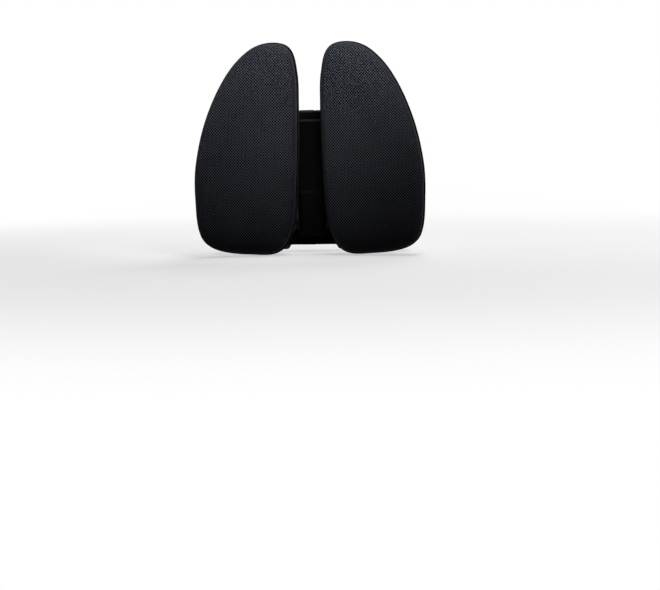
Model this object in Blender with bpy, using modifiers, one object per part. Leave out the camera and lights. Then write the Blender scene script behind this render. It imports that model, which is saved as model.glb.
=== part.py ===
"""Strap-on chair back support: two padded wings that swivel on a spine, held to the chair by two straps.

Metres, +Z up. The sitter is towards -Y and the chair back lies at +Y. The origin is the middle of the rear
grip pad's face, which bears on the chair back. Left and right are as seen from the sitter's side.
"""
import math

import bmesh
import bpy
from mathutils import Matrix, Vector
from mathutils.geometry import interpolate_bezier

MM = 0.001
WELD_DISTANCE = 0.001 * MM
SMOOTH_ANGLE = math.radians(35)

# Outline of the right pad seen from the front, in millimetres: X from the middle plane, then Z
PAD_OUTLINE = [
    (18, 130), (20, 183), (33, 225), (66, 235), (103.5, 222.5), (142.5, 180), (176.5, 108), (195, 30.5),
    (197.5, -30), (190, -95), (165, -119), (105, -129), (55, -124.5), (29.5, -84.5), (22, -20), (19, 55),
]
PAD_MIDDLE = Vector((105, 40)) * MM
PAD_POINTS = 36
TURN_WEIGHT = 80 * MM
EDGE_ZONE = 16 * MM
FULL_INSET = 90 * MM

# Shape of the wing's rear face: cupped round the sitter and leaning back at the top
SHELL_REAR_Y = -40 * MM
CUP_DEPTH = 26 * MM
PAD_OUTER_X = 197 * MM
LEAN_PER_METRE = 0.3

# Sections of the wing's layers: inset from the outline, then height off the rear face, in millimetres
SHELL_SECTION = [
    (90, 0), (50, 0), (26, 0), (8, 0), (2.4, 0.9), (0.8, 3.2), (0.6, 8.8),
    (3.8, 8.8), (4, 3), (26, 3), (50, 3), (90, 3),
]
BOARD_SECTION = [(90, 3.5), (50, 3.5), (26, 3.5), (7.2, 3.5), (7.2, 7.4), (26, 7.4), (50, 7.4), (90, 7.4)]
FOAM_SECTION = [
    (90, 53.6), (50, 51.4), (26, 45.3), (18, 41.8), (13.4, 39), (9, 35.2), (7, 31), (6.2, 24), (7.2, 16),
    (7.6, 7.9), (26, 7.9), (50, 7.9), (90, 7.9),
]
COVER_SECTION = [
    (90, 57), (50, 55), (26, 49), (18, 45.4), (12, 41.6), (7.4, 37.4), (5, 34),
    (6.4, 33), (9, 36.2), (13.4, 39.6), (18.4, 42.6), (26, 46), (50, 52), (90, 54.2),
]
BAND_SECTION = [
    (4.7, 4), (4.7, 10), (4.8, 13.4), (3.4, 22), (3.7, 28), (4.6, 33.2),
    (6, 32.2), (5.4, 28), (5.2, 22), (6.7, 13), (6.6, 4),
]
PIPING_SEAT = (2.1, 11.4)
PIPING_RADIUS = 2 * MM

# Places of the four screws in each wing, and of the first and last of the shell's vents, in millimetres
WING_SCREWS = [(62, 186), (158, 62), (164, -72), (72, -104)]
SCREW_BOSS_HEIGHT = 3
SCREW_BOSS_RADIUS = 5.5
SCREW_HOLE_RADIUS = 1.9
VENT_COUNT = 4
VENT_X = 114
VENT_LOWEST_Z = 18
VENT_SPACING = 34
VENT_HALF_LENGTH = 32
VENT_HALF_HEIGHT = 5

# Hinges: one vertical pin a side, carried by lugs on the spine and by knuckles on the wing, in millimetres
HINGE_X = 34
HINGE_Y = -27
PIN_HOLE_RADIUS = 3.3
BUSH_HOLE_RADIUS = 5
LUG_SPAN = (70.6, 84.6)
LUG_HALF_WIDTH = 9
KNUCKLE_SPAN = (54, 69)
CLIP_OUTER_RADIUS = 6
CLIP_INNER_RADIUS = 2.6
CLIP_LEVEL = -86.6
CLIP_THICKNESS = 1

# Spring on each pin
SPRING_RADIUS = 6.5 * MM
SPRING_WIRE = 1 * MM
SPRING_TURNS = 6.5
SPRING_PITCH = 3.6 * MM
SPRING_POINTS_A_TURN = 10

# Spine plate, cover and grip pad, in millimetres
PLATE_FRONT_Y = -14
PLATE_REAR_Y = -8
SLOT_X = 52
SLOT_HALF_WIDTH = 2.5
SLOT_SPAN = (88.5, 116.5)
RIB_REAR_Y = -3
RIB_HALF_WIDTH = 1.5
RIB_X = 40
RIB_Z = 79.5
COVER_HALF_WIDTH = 22
COVER_TOP_Z = 102.5
COVER_BOTTOM_Z = -100
COVER_FACE_Y = -31
COVER_STEP_Y = -34
COVER_STEP_Z = -20
COVER_STEP_DROP = 4.5
COVER_REAR_Y = -14.3
COVER_CHAMFER = 3.5
COVER_CORNER_RADIUS = 6
COVER_WALL = 2.5
COVER_SCREW_Z = 72
COVER_POST_RADIUS = 4.5
COVER_POST_HOLE_RADIUS = 1.8
STRAP_NOTCH_Z = 88.5
STRAP_NOTCH_FRONT_Y = -18.4
GRIP_HALF_WIDTH = 34
GRIP_HALF_HEIGHT = 62
GRIP_FRONT_Y = -7.6

# Straps: 25 mm webbing that runs in front of the plate, through its slots and round the chair back
STRAP_WIDTH = 25 * MM
STRAP_THICKNESS = 1.6 * MM
STRAP_Z = 102.5 * MM
STRAP_REAR_Y = 58
STRAP_SIDE_X = 165
STRAP_FRONT_Y = -16
KEEPER_X = -82 * MM

# Side-release buckle, in millimetres about the rear run of its strap
BUCKLE_HALF_HEIGHT = 17.5
BUCKLE_BAR_X = 39.5
BUCKLE_BAR_RADIUS = 1.9
BUCKLE_BAR_HALF_LENGTH = 14.5
SOCKET_HALF_DEPTH = 5.5
PLUG_HALF_DEPTH = 2.6
PLUG_BLOCK_HALF_DEPTH = 4.6
MOUTH_HALF_DEPTH = 3.2
MOUTH_HALF_HEIGHT = 13.4
WEBBING_HALF_GAP = 13.3

# Turns from a drawing plane to the object's axes, and the axis that the drawing is extruded along
PLANES = {
    "XY": (Matrix.Identity(4), Vector((0, 0, 1))),
    "XZ": (Matrix.Rotation(math.pi / 2, 4, "X"), Vector((0, 1, 0))),
    "YZ": (Matrix.Rotation(math.pi / 2, 4, "Z") @ Matrix.Rotation(math.pi / 2, 4, "X"), Vector((1, 0, 0))),
}


def new_collection(name):
    """Collection in the scene."""
    made = bpy.data.collections.new(name)
    bpy.context.scene.collection.children.link(made)
    return made


for item in list(bpy.data.objects):
    bpy.data.objects.remove(item)
parts = new_collection("chair_back_support")
cutters = new_collection("cutters")


def material(name, colour, roughness, metallic=0.0):
    """Plain Principled material."""
    made = bpy.data.materials.new(name)
    made.use_nodes = True
    shader = made.node_tree.nodes["Principled BSDF"]
    shader.inputs["Base Color"].default_value = (*colour, 1.0)
    shader.inputs["Roughness"].default_value = roughness
    shader.inputs["Metallic"].default_value = metallic
    made.diffuse_color = (*colour, 1.0)
    return made


def add_part(name, mesh, finish, parent=None, location=(0, 0, 0)):
    """Object that shows a mesh in one material, smooth but for its sharp edges."""
    if not mesh.materials:
        mesh.materials.append(finish)
        mesh.shade_smooth()
        mesh.set_sharp_from_angle(angle=SMOOTH_ANGLE)
    made = bpy.data.objects.new(name, mesh)
    made.parent = parent
    made.location = location
    parts.objects.link(made)
    return made


def shape(part, tools, operation):
    """Gives a part a Boolean modifier for each tool mesh, which stays in the scene as a hidden guide."""
    for mesh in tools:
        tool = bpy.data.objects.new(part.name + "_tool", mesh)
        tool.parent = part.parent
        tool.location = part.location
        tool.hide_render = True
        tool.display_type = "WIRE"
        cutters.objects.link(tool)
        change = part.modifiers.new(operation.lower(), "BOOLEAN")
        change.operation = operation
        change.object = tool


def finished(build):
    """Mesh from a bmesh, welded and with its faces turned outwards."""
    bmesh.ops.remove_doubles(build, verts=build.verts, dist=WELD_DISTANCE)
    bmesh.ops.recalc_face_normals(build, faces=build.faces)
    mesh = bpy.data.meshes.new("piece")
    build.to_mesh(mesh)
    build.free()
    return mesh


def settled(data, modify=None):
    """Mesh that a curve or a profile becomes with its own settings and an added modifier."""
    guide = bpy.data.objects.new("guide", data)
    cutters.objects.link(guide)
    if modify:
        modify(guide)
    state = bpy.context.evaluated_depsgraph_get()
    mesh = bpy.data.meshes.new_from_object(guide.evaluated_get(state))
    bpy.data.objects.remove(guide)
    build = bmesh.new()
    build.from_mesh(mesh)
    return finished(build)


def curve_along(paths, closed, dimensions):
    """Curve with a spline of straight runs along each path."""
    curve = bpy.data.curves.new("path", "CURVE")
    curve.dimensions = dimensions
    for path in paths:
        spline = curve.splines.new("POLY")
        spline.points.add(len(path) - 1)
        for point, place in zip(spline.points, path):
            point.co = (*place.to_3d(), 1)
        spline.use_cyclic_u = closed
    return curve


def extruded(outlines, low, high, plane="XY"):
    """Flat outline thickened between two levels in millimetres; later outlines are holes in the first."""
    curve = curve_along(outlines, True, "2D")
    curve.fill_mode = "BOTH"
    curve.extrude = (high - low) / 2 * MM
    turn, axis = PLANES[plane]
    mesh = settled(curve)
    mesh.transform(Matrix.Translation(axis * (low + high) / 2 * MM) @ turn)
    return mesh


def turned(profile, sides, closed=False):
    """Solid turned about Z from (radius, height) pairs in millimetres, listed down its outer side."""
    mesh = bpy.data.meshes.new("profile")
    edges = [(index, index + 1) for index in range(len(profile) - 1)]
    if closed:
        edges.append((len(profile) - 1, 0))
    mesh.from_pydata([(radius * MM, 0, height * MM) for radius, height in profile], edges, [])

    def add_screw(guide):
        screw = guide.modifiers.new("turn", "SCREW")
        screw.steps = sides
        screw.render_steps = sides
        screw.use_merge_vertices = True
        screw.merge_threshold = WELD_DISTANCE

    return settled(mesh, add_screw)


def wire(path, radius, closed=False):
    """Round wire along a path."""
    curve = curve_along([path], closed, "3D")
    curve.bevel_depth = radius
    curve.bevel_resolution = 1
    curve.use_fill_caps = not closed
    return settled(curve)


def webbing_along(path):
    """Webbing that stands on edge along a path in the XY plane."""
    curve = curve_along([path], False, "2D")
    curve.extrude = STRAP_WIDTH / 2

    def add_thickness(guide):
        solid = guide.modifiers.new("thickness", "SOLIDIFY")
        solid.thickness = STRAP_THICKNESS
        solid.offset = 0
        solid.use_even_offset = True

    return settled(curve, add_thickness)


def box(left, right, front, rear, low, high):
    """Box from its limits in millimetres."""
    middle = Vector((left + right, front + rear, low + high)) / 2 * MM
    size = Matrix.Diagonal(Vector((right - left, rear - front, high - low, 1 / MM)) * MM)
    build = bmesh.new()
    bmesh.ops.create_cube(build, size=1, matrix=Matrix.Translation(middle) @ size)
    return finished(build)


def rod(start, end, radius, sides):
    """Round bar between two places in millimetres."""
    first, last = Vector(start) * MM, Vector(end) * MM
    turn = (last - first).to_track_quat("Z", "Y").to_matrix().to_4x4()
    build = bmesh.new()
    bmesh.ops.create_cone(
        build, cap_ends=True, segments=sides, radius1=radius * MM, radius2=radius * MM,
        depth=(last - first).length, matrix=Matrix.Translation((first + last) / 2) @ turn,
    )
    return finished(build)


def loft(rings, closed=False):
    """Closed surface over rings of points; a ring of one point is a tip, and closed links last to first."""
    build = bmesh.new()
    rows = [[build.verts.new(place) for place in ring] for ring in rings]
    pairs = list(zip(rows, rows[1:]))
    if closed:
        pairs.append((rows[-1], rows[0]))
    for first, second in pairs:
        count = max(len(first), len(second))
        for index in range(count):
            following = (index + 1) % count
            corners = [
                first[index % len(first)], first[following % len(first)],
                second[following % len(second)], second[index % len(second)],
            ]
            build.faces.new(list(dict.fromkeys(corners)))
    return finished(build)


def rounded_path(corners, closed=True, step=30):
    """Points of an outline with (x, y, radius) corners in millimetres, each turned by an arc."""
    path = []
    total = len(corners)
    for index, (x, y, radius) in enumerate(corners):
        corner = Vector((x, y))
        if radius == 0 or (not closed and index in (0, total - 1)):
            path.append(corner * MM)
            continue
        arrive = (corner - Vector(corners[index - 1][:2])).normalized()
        leave = (Vector(corners[(index + 1) % total][:2]) - corner).normalized()
        bend = arrive.angle(leave)
        start = corner - arrive * radius * math.tan(bend / 2)
        side = 1 if arrive.cross(leave) > 0 else -1
        centre = start + Vector((-arrive.y, arrive.x)) * radius * side
        steps = max(1, math.ceil(math.degrees(bend) / step))
        for count in range(steps + 1):
            turn = Matrix.Rotation(side * bend * count / steps, 2)
            path.append((centre + turn @ (start - centre)) * MM)
    kept = path[:1]
    for spot in path[1:]:
        if (spot - kept[-1]).length > WELD_DISTANCE:
            kept.append(spot)
    return kept


def rectangle(left, right, low, high, radius=0):
    """Rounded rectangle; the numbers are millimetres."""
    corners = [(left, low), (right, low), (right, high), (left, high)]
    return rounded_path([(x, y, radius) for x, y in corners])


def circle(x, y, radius, sides=16):
    """Round outline; the numbers are millimetres."""
    turns = [2 * math.pi * side / sides for side in range(sides)]
    return [Vector((x + radius * math.cos(turn), y + radius * math.sin(turn))) * MM for turn in turns]


def smooth_loop(points, count, turn_weight):
    """Closed smooth curve through the points, as places spaced along it, closer together where it turns."""
    total = len(points)
    dense = []
    for index in range(total):
        before, start, end, after = [points[(index + shift) % total] for shift in (-1, 0, 1, 2)]
        reach = (end - start).length / 3
        leave = start + (end - before).normalized() * reach
        arrive = end - (after - start).normalized() * reach
        dense += interpolate_bezier(start, leave, arrive, end, 24)[:-1]
    steps = [dense[(index + 1) % len(dense)] - spot for index, spot in enumerate(dense)]
    shares = [step.length + turn_weight * step.angle(steps[index - 1]) for index, step in enumerate(steps)]
    spacing = sum(shares) / count
    places = []
    walked = 0.0
    for spot, step, share in zip(dense, steps, shares):
        while len(places) < count and len(places) * spacing <= walked + share:
            places.append(spot + step * (len(places) * spacing - walked) / share)
        walked += share
    return places


def rear_y(x, z):
    """Depth of the right wing's rear face."""
    reach = max(0.0, x - HINGE_X * MM) / (PAD_OUTER_X - HINGE_X * MM)
    return SHELL_REAR_Y - CUP_DEPTH * reach ** 2 + LEAN_PER_METRE * z ** 2


def rear_mm(x, z):
    """Depth of the right wing's rear face, from and in millimetres."""
    return rear_y(x * MM, z * MM) / MM


pad_edge = smooth_loop([Vector(point) * MM for point in PAD_OUTLINE], PAD_POINTS, TURN_WEIGHT)
pad_inward = []
for index in range(PAD_POINTS):
    along = (pad_edge[(index + 1) % PAD_POINTS] - pad_edge[index - 1]).normalized()
    normal = Vector((-along.y, along.x))
    pad_inward.append(normal if normal.dot(PAD_MIDDLE - pad_edge[index]) > 0 else -normal)

# The wing turns about its hinge, so its meshes are made about a point on that axis
hinge_place = Vector((HINGE_X, HINGE_Y, 0)) * MM


def pad_ring(inset, height):
    """Ring round the right pad, from its inset from the outline and its height off the rear face, in mm."""
    inset *= MM
    if inset >= FULL_INSET:
        return [Vector((PAD_MIDDLE.x, rear_y(*PAD_MIDDLE) - height * MM, PAD_MIDDLE.y)) - hinge_place]
    ring = []
    for edge, normal in zip(pad_edge, pad_inward):
        spot = edge + normal * min(inset, EDGE_ZONE)
        if inset > EDGE_ZONE:
            spot = spot.lerp(PAD_MIDDLE, (inset - EDGE_ZONE) / (FULL_INSET - EDGE_ZONE))
        ring.append(Vector((spot.x, rear_y(spot.x, spot.y) - height * MM, spot.y)) - hinge_place)
    return ring


def pad_layer(section, closed=False):
    """Layer of the right pad, lofted from its section; closed is for a band with no middle."""
    return loft([pad_ring(inset, height) for inset, height in section], closed)


def about_hinge(mesh):
    """The mesh shifted so that its origin is on the right hinge's axis."""
    mesh.transform(Matrix.Translation(-hinge_place))
    return mesh


shell_plastic = material("shell_plastic", (0.016, 0.016, 0.018), 0.45)
frame_plastic = material("frame_plastic", (0.008, 0.008, 0.009), 0.55)
board_plastic = material("board_plastic", (0.05, 0.05, 0.052), 0.6)
mesh_fabric = material("mesh_fabric", (0.027, 0.030, 0.038), 0.85)
side_fabric = material("side_fabric", (0.014, 0.015, 0.018), 0.8)
foam = material("foam", (0.09, 0.09, 0.10), 0.95)
rubber = material("rubber", (0.02, 0.02, 0.02), 0.9)
webbing = material("webbing", (0.008, 0.008, 0.009), 0.85)
buckle_plastic = material("buckle_plastic", (0.012, 0.012, 0.013), 0.35)
steel = material("steel", (0.10, 0.10, 0.11), 0.35, 1.0)
spring_steel = material("spring_steel", (0.07, 0.07, 0.075), 0.35, 1.0)
bush_plastic = material("bush_plastic", (0.012, 0.012, 0.013), 0.4)

# Screw of the wings and the cover: its head, with a drive recess, stands behind its seat at the origin
screw_mesh = turned([
    (0, 1), (1.6, 1), (1.6, 2.3), (2.8, 2.3), (3.6, 1.4), (3.6, 0.15), (1.5, 0.15), (1.5, -9.2), (0, -9.8),
], 10)
screw_mesh.transform(Matrix.Rotation(-math.pi / 2, 4, "X"))

# Spine plate: an I shape with a strap slot in each ear
plate_half = [
    (60, 86, 6), (60, 123, 8), (44, 123, 6), (38, 112, 10), (-38, 112, 10), (-44, 123, 6), (-60, 123, 8),
    (-60, 86, 6), (-46, 80, 8),
]
plate_corners = plate_half + [(-x, -z, radius) for x, z, radius in plate_half]
plate_outlines = [rounded_path([plate_corners[-1]] + plate_corners[:-1])]
for side in (-1, 1):
    for end in (-1, 1):
        low, high = sorted((end * SLOT_SPAN[0], end * SLOT_SPAN[1]))
        left, right = side * SLOT_X - SLOT_HALF_WIDTH, side * SLOT_X + SLOT_HALF_WIDTH
        plate_outlines.append(rectangle(left, right, low, high, 2))
plate = add_part("spine_frame", extruded(plate_outlines, PLATE_FRONT_Y, PLATE_REAR_Y, "XZ"), frame_plastic)

# Hinge lugs in front of the plate, and stiffening ribs behind it
lugs = []
ribs = []
rib_reach = RIB_X + RIB_HALF_WIDTH
rib_top = RIB_Z - RIB_HALF_WIDTH
for side in (-1, 1):
    axis = side * HINGE_X
    lug = [
        (axis - LUG_HALF_WIDTH, PLATE_FRONT_Y + 1, 0), (axis + LUG_HALF_WIDTH, PLATE_FRONT_Y + 1, 0),
        (axis + LUG_HALF_WIDTH, HINGE_Y - LUG_HALF_WIDTH, LUG_HALF_WIDTH),
        (axis - LUG_HALF_WIDTH, HINGE_Y - LUG_HALF_WIDTH, LUG_HALF_WIDTH),
    ]
    for end in (-1, 1):
        low, high = sorted((end * LUG_SPAN[0], end * LUG_SPAN[1]))
        lugs.append(extruded([rounded_path(lug), circle(axis, HINGE_Y, PIN_HOLE_RADIUS)], low, high))
    left, right = side * RIB_X - RIB_HALF_WIDTH, side * RIB_X + RIB_HALF_WIDTH
    ribs.append(box(left, right, PLATE_REAR_Y - 1, RIB_REAR_Y, -rib_top, rib_top))
for end in (-1, 1):
    low, high = end * RIB_Z - RIB_HALF_WIDTH, end * RIB_Z + RIB_HALF_WIDTH
    ribs.append(box(-rib_reach, rib_reach, PLATE_REAR_Y - 1, RIB_REAR_Y, low, high))
shape(plate, lugs + ribs, "UNION")
cover_screw_heights = (-COVER_SCREW_Z, COVER_SCREW_Z)
plate_holes = [rod((0, -20, z), (0, 0, z), SCREW_HOLE_RADIUS, 12) for z in cover_screw_heights]
shape(plate, plate_holes, "DIFFERENCE")

# Spine cover: a hollow shroud before the plate, chamfered above, stepped on its face, notched for the straps
cover_side = rounded_path([
    (COVER_REAR_Y, COVER_TOP_Z, 0),
    (COVER_FACE_Y + COVER_CHAMFER, COVER_TOP_Z, 0), (COVER_FACE_Y, COVER_TOP_Z - COVER_CHAMFER, 0),
    (COVER_FACE_Y, COVER_STEP_Z, 0), (COVER_STEP_Y, COVER_STEP_Z - COVER_STEP_DROP, 0),
    (COVER_STEP_Y, COVER_BOTTOM_Z + COVER_CHAMFER, 0), (COVER_STEP_Y + COVER_CHAMFER, COVER_BOTTOM_Z, 0),
    (COVER_REAR_Y, COVER_BOTTOM_Z, 0),
])
blank_half = COVER_HALF_WIDTH + 2
cover = add_part("spine_cover", extruded([cover_side], -blank_half, blank_half, "YZ"), frame_plastic)
beyond_rear = COVER_REAR_Y + 4
cover_plan = rounded_path([
    (-COVER_HALF_WIDTH, beyond_rear, 0), (-COVER_HALF_WIDTH, COVER_STEP_Y, COVER_CORNER_RADIUS),
    (COVER_HALF_WIDTH, COVER_STEP_Y, COVER_CORNER_RADIUS), (COVER_HALF_WIDTH, beyond_rear, 0),
])
shape(cover, [extruded([cover_plan], COVER_BOTTOM_Z - 10, COVER_TOP_Z + 10)], "INTERSECT")
hollow_half = COVER_HALF_WIDTH - COVER_WALL
hollow_front = COVER_FACE_Y + COVER_WALL
hollow_low, hollow_high = COVER_BOTTOM_Z + COVER_WALL, COVER_TOP_Z - COVER_WALL
cover_cuts = [box(-hollow_half, hollow_half, hollow_front, beyond_rear, hollow_low, hollow_high)]
for low, high in ((COVER_BOTTOM_Z - 3, -STRAP_NOTCH_Z), (STRAP_NOTCH_Z, COVER_TOP_Z + 3)):
    cover_cuts.append(box(-blank_half, blank_half, STRAP_NOTCH_FRONT_Y, beyond_rear, low, high))
shape(cover, cover_cuts, "DIFFERENCE")
post_front = hollow_front - 1
posts = [rod((0, post_front, z), (0, COVER_REAR_Y, z), COVER_POST_RADIUS, 16) for z in cover_screw_heights]
shape(cover, posts, "UNION")
post_holes = [rod((0, -20, z), (0, -10, z), COVER_POST_HOLE_RADIUS, 12) for z in cover_screw_heights]
shape(cover, post_holes, "DIFFERENCE")
for label, z in zip(("lower", "upper"), cover_screw_heights):
    seat = Vector((0, PLATE_REAR_Y, z)) * MM
    add_part("spine_screw_" + label, screw_mesh, steel, location=seat)

# Grip pad: its rear face bears on the chair back
grip_outline = rectangle(-GRIP_HALF_WIDTH, GRIP_HALF_WIDTH, -GRIP_HALF_HEIGHT, GRIP_HALF_HEIGHT, 10)
add_part("rear_grip_pad", extruded([grip_outline], GRIP_FRONT_Y, 0, "XZ"), rubber)

# Layers of the wing, made on the right; the left wing shows the same meshes mirrored
shell_mesh = pad_layer(SHELL_SECTION)
board_mesh = pad_layer(BOARD_SECTION)
foam_mesh = pad_layer(FOAM_SECTION)
cover_mesh = pad_layer(COVER_SECTION)
band_mesh = pad_layer(BAND_SECTION, closed=True)
piping_mesh = wire(pad_ring(*PIPING_SEAT), PIPING_RADIUS, closed=True)

# Hinge knuckles and screw bosses behind the shell
shell_additions = []
for end in (-1, 1):
    low, high = sorted((end * KNUCKLE_SPAN[0], end * KNUCKLE_SPAN[1]))
    level = (low + high) / 2
    arm = [(25, -18, 9), (43, -18, 9), (52, HINGE_Y, 12), (100, rear_mm(100, level) + 0.5, 0)]
    arm += [(reach, rear_mm(reach, level) - 1.6, 0) for reach in (100, 75, 50, 25)]
    knuckle = extruded([rounded_path(arm), circle(HINGE_X, HINGE_Y, BUSH_HOLE_RADIUS)], low, high)
    shell_additions.append(about_hinge(knuckle))
for x, z in WING_SCREWS:
    surface = rear_mm(x, z)
    boss = rod((x, surface - 1.5, z), (x, surface + SCREW_BOSS_HEIGHT, z), SCREW_BOSS_RADIUS, 12)
    shell_additions.append(about_hinge(boss))

# Screw holes through the shell and the board, and vents through the shell alone
screw_holes = [about_hinge(rod((x, -90, z), (x, -20, z), SCREW_HOLE_RADIUS, 8)) for x, z in WING_SCREWS]
vents = []
for number in range(VENT_COUNT):
    level = VENT_LOWEST_Z + VENT_SPACING * number
    half = VENT_HALF_LENGTH - 3 * number
    low, high = level - VENT_HALF_HEIGHT, level + VENT_HALF_HEIGHT
    vent = rectangle(VENT_X - half, VENT_X + half, low, high, VENT_HALF_HEIGHT - 0.5)
    vents.append(about_hinge(extruded([vent], -80, -20, "XZ")))

# Hinge pin with a head and a clip groove, flanged bush and retaining clip, each about the hinge's axis
pin_mesh = turned([
    (0, 88.2), (4.4, 88.2), (5.4, 87.2), (5.4, 85), (3, 85), (3, -85.8),
    (2.2, -85.8), (2.2, -87.4), (3, -87.4), (3, -89.2), (2.4, -90), (0, -90),
], 12)
bush_mesh = turned([
    (PIN_HOLE_RADIUS, 1.2), (7.5, 1.2), (7.5, 0.4), (4.7, 0.4), (4.7, -14.2), (PIN_HOLE_RADIUS, -14.2),
], 12, closed=True)
clip_turns = [math.radians(angle) for angle in range(40, 321, 20)]
clip_rim = [Vector((math.cos(turn), math.sin(turn))) * MM for turn in clip_turns]
clip_outline = [spot * CLIP_OUTER_RADIUS for spot in clip_rim]
clip_outline += [spot * CLIP_INNER_RADIUS for spot in reversed(clip_rim)]
clip_mesh = extruded([clip_outline], CLIP_LEVEL - CLIP_THICKNESS / 2, CLIP_LEVEL + CLIP_THICKNESS / 2)

# Torsion spring: a coil round the pin, with one leg that bears on the plate and one on the shell
coil_steps = round(SPRING_TURNS * SPRING_POINTS_A_TURN)
coil = []
for step in range(coil_steps + 1):
    turn = math.pi / 2 + 2 * math.pi * SPRING_TURNS * step / coil_steps
    level = SPRING_PITCH * SPRING_TURNS * (step / coil_steps - 0.5)
    coil.append(Vector((SPRING_RADIUS * math.cos(turn), SPRING_RADIUS * math.sin(turn), level)))
plate_leg = [coil[0] + Vector((12, 5, -0.8)) * MM, coil[0] + Vector((6, 1.5, -0.4)) * MM]
shell_leg = [coil[-1] + Vector((8, -1, 0.4)) * MM, coil[-1] + Vector((30, -5.2, 0.8)) * MM]
spring_mesh = wire(plate_leg + coil + shell_leg, SPRING_WIRE)
spring_gaps = []
for index, first in enumerate(coil):
    for second in coil[index + 1:]:
        if second.z - first.z > SPRING_PITCH / 2:
            spring_gaps.append((second - first).length - 2 * SPRING_WIRE)
print("least gap between the spring's turns, mm:", round(min(spring_gaps) / MM, 2))

for label, sign in (("right", 1), ("left", -1)):
    axis = bpy.data.objects.new(label + "_wing_axis", None)
    axis.location = Vector((sign * HINGE_X, HINGE_Y, 0)) * MM
    axis.scale = (sign, 1, 1)
    parts.objects.link(axis)
    shell = add_part(label + "_wing_shell", shell_mesh, shell_plastic, axis)
    shape(shell, shell_additions, "UNION")
    shape(shell, screw_holes + vents, "DIFFERENCE")
    board = add_part(label + "_pad_board", board_mesh, board_plastic, axis)
    shape(board, screw_holes, "DIFFERENCE")
    add_part(label + "_foam_pad", foam_mesh, foam, axis)
    add_part(label + "_front_cover", cover_mesh, mesh_fabric, axis)
    add_part(label + "_side_band", band_mesh, side_fabric, axis)
    add_part(label + "_edge_piping", piping_mesh, side_fabric, axis)
    add_part(label + "_hinge_pin", pin_mesh, steel, axis)
    add_part(label + "_hinge_clip", clip_mesh, spring_steel, axis)
    add_part(label + "_hinge_spring", spring_mesh, spring_steel, axis)
    bush_level = KNUCKLE_SPAN[1] * MM
    add_part(label + "_bush_upper", bush_mesh, bush_plastic, axis, (0, 0, bush_level))
    lower_bush = add_part(label + "_bush_lower", bush_mesh, bush_plastic, axis, (0, 0, -bush_level))
    lower_bush.rotation_euler = (math.pi, 0, 0)
    for number, (x, z) in enumerate(WING_SCREWS, 1):
        seat = Vector((x, rear_mm(x, z) + SCREW_BOSS_HEIGHT, z)) * MM
        add_part(f"{label}_wing_screw_{number}", screw_mesh, steel, axis, seat - hinge_place)

# Strap: sewn round the socket's bar, then through the plate's slots and round the chair back
rear = STRAP_REAR_Y
loop = BUCKLE_BAR_RADIUS + 1.2
loop_end = BUCKLE_BAR_X - loop
strap_mesh = webbing_along(rounded_path([
    (-112, rear + 2.4, 0), (-60, rear + 2.4, 20), (-48, rear + loop, 20), (-loop_end, rear + loop, loop),
    (-loop_end, rear - loop, loop), (-48, rear - loop, 20), (-60, rear, 20), (-STRAP_SIDE_X, rear, 24),
    (-STRAP_SIDE_X, -1, 18), (-SLOT_X, -1, 6), (-SLOT_X, STRAP_FRONT_Y, 4.5), (SLOT_X, STRAP_FRONT_Y, 4.5),
    (SLOT_X, -1, 6), (STRAP_SIDE_X, -1, 18), (STRAP_SIDE_X, rear, 24), (112, rear, 0),
], closed=False))

# Elastic end, sewn to the strap, which goes round the plug's bar and is sewn back on itself
end_mesh = webbing_along(rounded_path([
    (138, rear + 2, 0), (110, rear + 2, 20), (100, rear + 1, 20), (60, rear + 1, 20), (48, rear + loop, 20),
    (loop_end, rear + loop, loop), (loop_end, rear - loop, loop), (48, rear - loop, 20), (58, rear - 1, 20),
    (74, rear - 1, 0),
], closed=False))

# Buckle socket, open towards +X, with a window each side for the prongs and a slot round its strap bar
socket_outline = rounded_path([
    (0, -BUCKLE_HALF_HEIGHT, 2), (0, BUCKLE_HALF_HEIGHT, 2), (-24, BUCKLE_HALF_HEIGHT, 6), (-30, 16.5, 6),
    (-43, 16.5, 3), (-43, -16.5, 3), (-30, -16.5, 6), (-24, -BUCKLE_HALF_HEIGHT, 6),
])
socket_mesh = extruded([socket_outline], rear - SOCKET_HALF_DEPTH, rear + SOCKET_HALF_DEPTH, "XZ")
mouth_front, mouth_rear = rear - MOUTH_HALF_DEPTH, rear + MOUTH_HALF_DEPTH
mouth = box(-25, 5, mouth_front, mouth_rear, -MOUTH_HALF_HEIGHT, MOUTH_HALF_HEIGHT)
windows = box(-22.5, -10, mouth_front, mouth_rear, -25, 25)


def webbing_slot(left, right):
    """Cutter for the slot that the webbing passes through."""
    opening = rectangle(left, right, -WEBBING_HALF_GAP, WEBBING_HALF_GAP, 1)
    return extruded([opening], rear - 9, rear + 9, "XZ")


def strap_bar(x):
    """Bar that the webbing goes round."""
    return rod((x, rear, -BUCKLE_BAR_HALF_LENGTH), (x, rear, BUCKLE_BAR_HALF_LENGTH), BUCKLE_BAR_RADIUS, 12)


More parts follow.
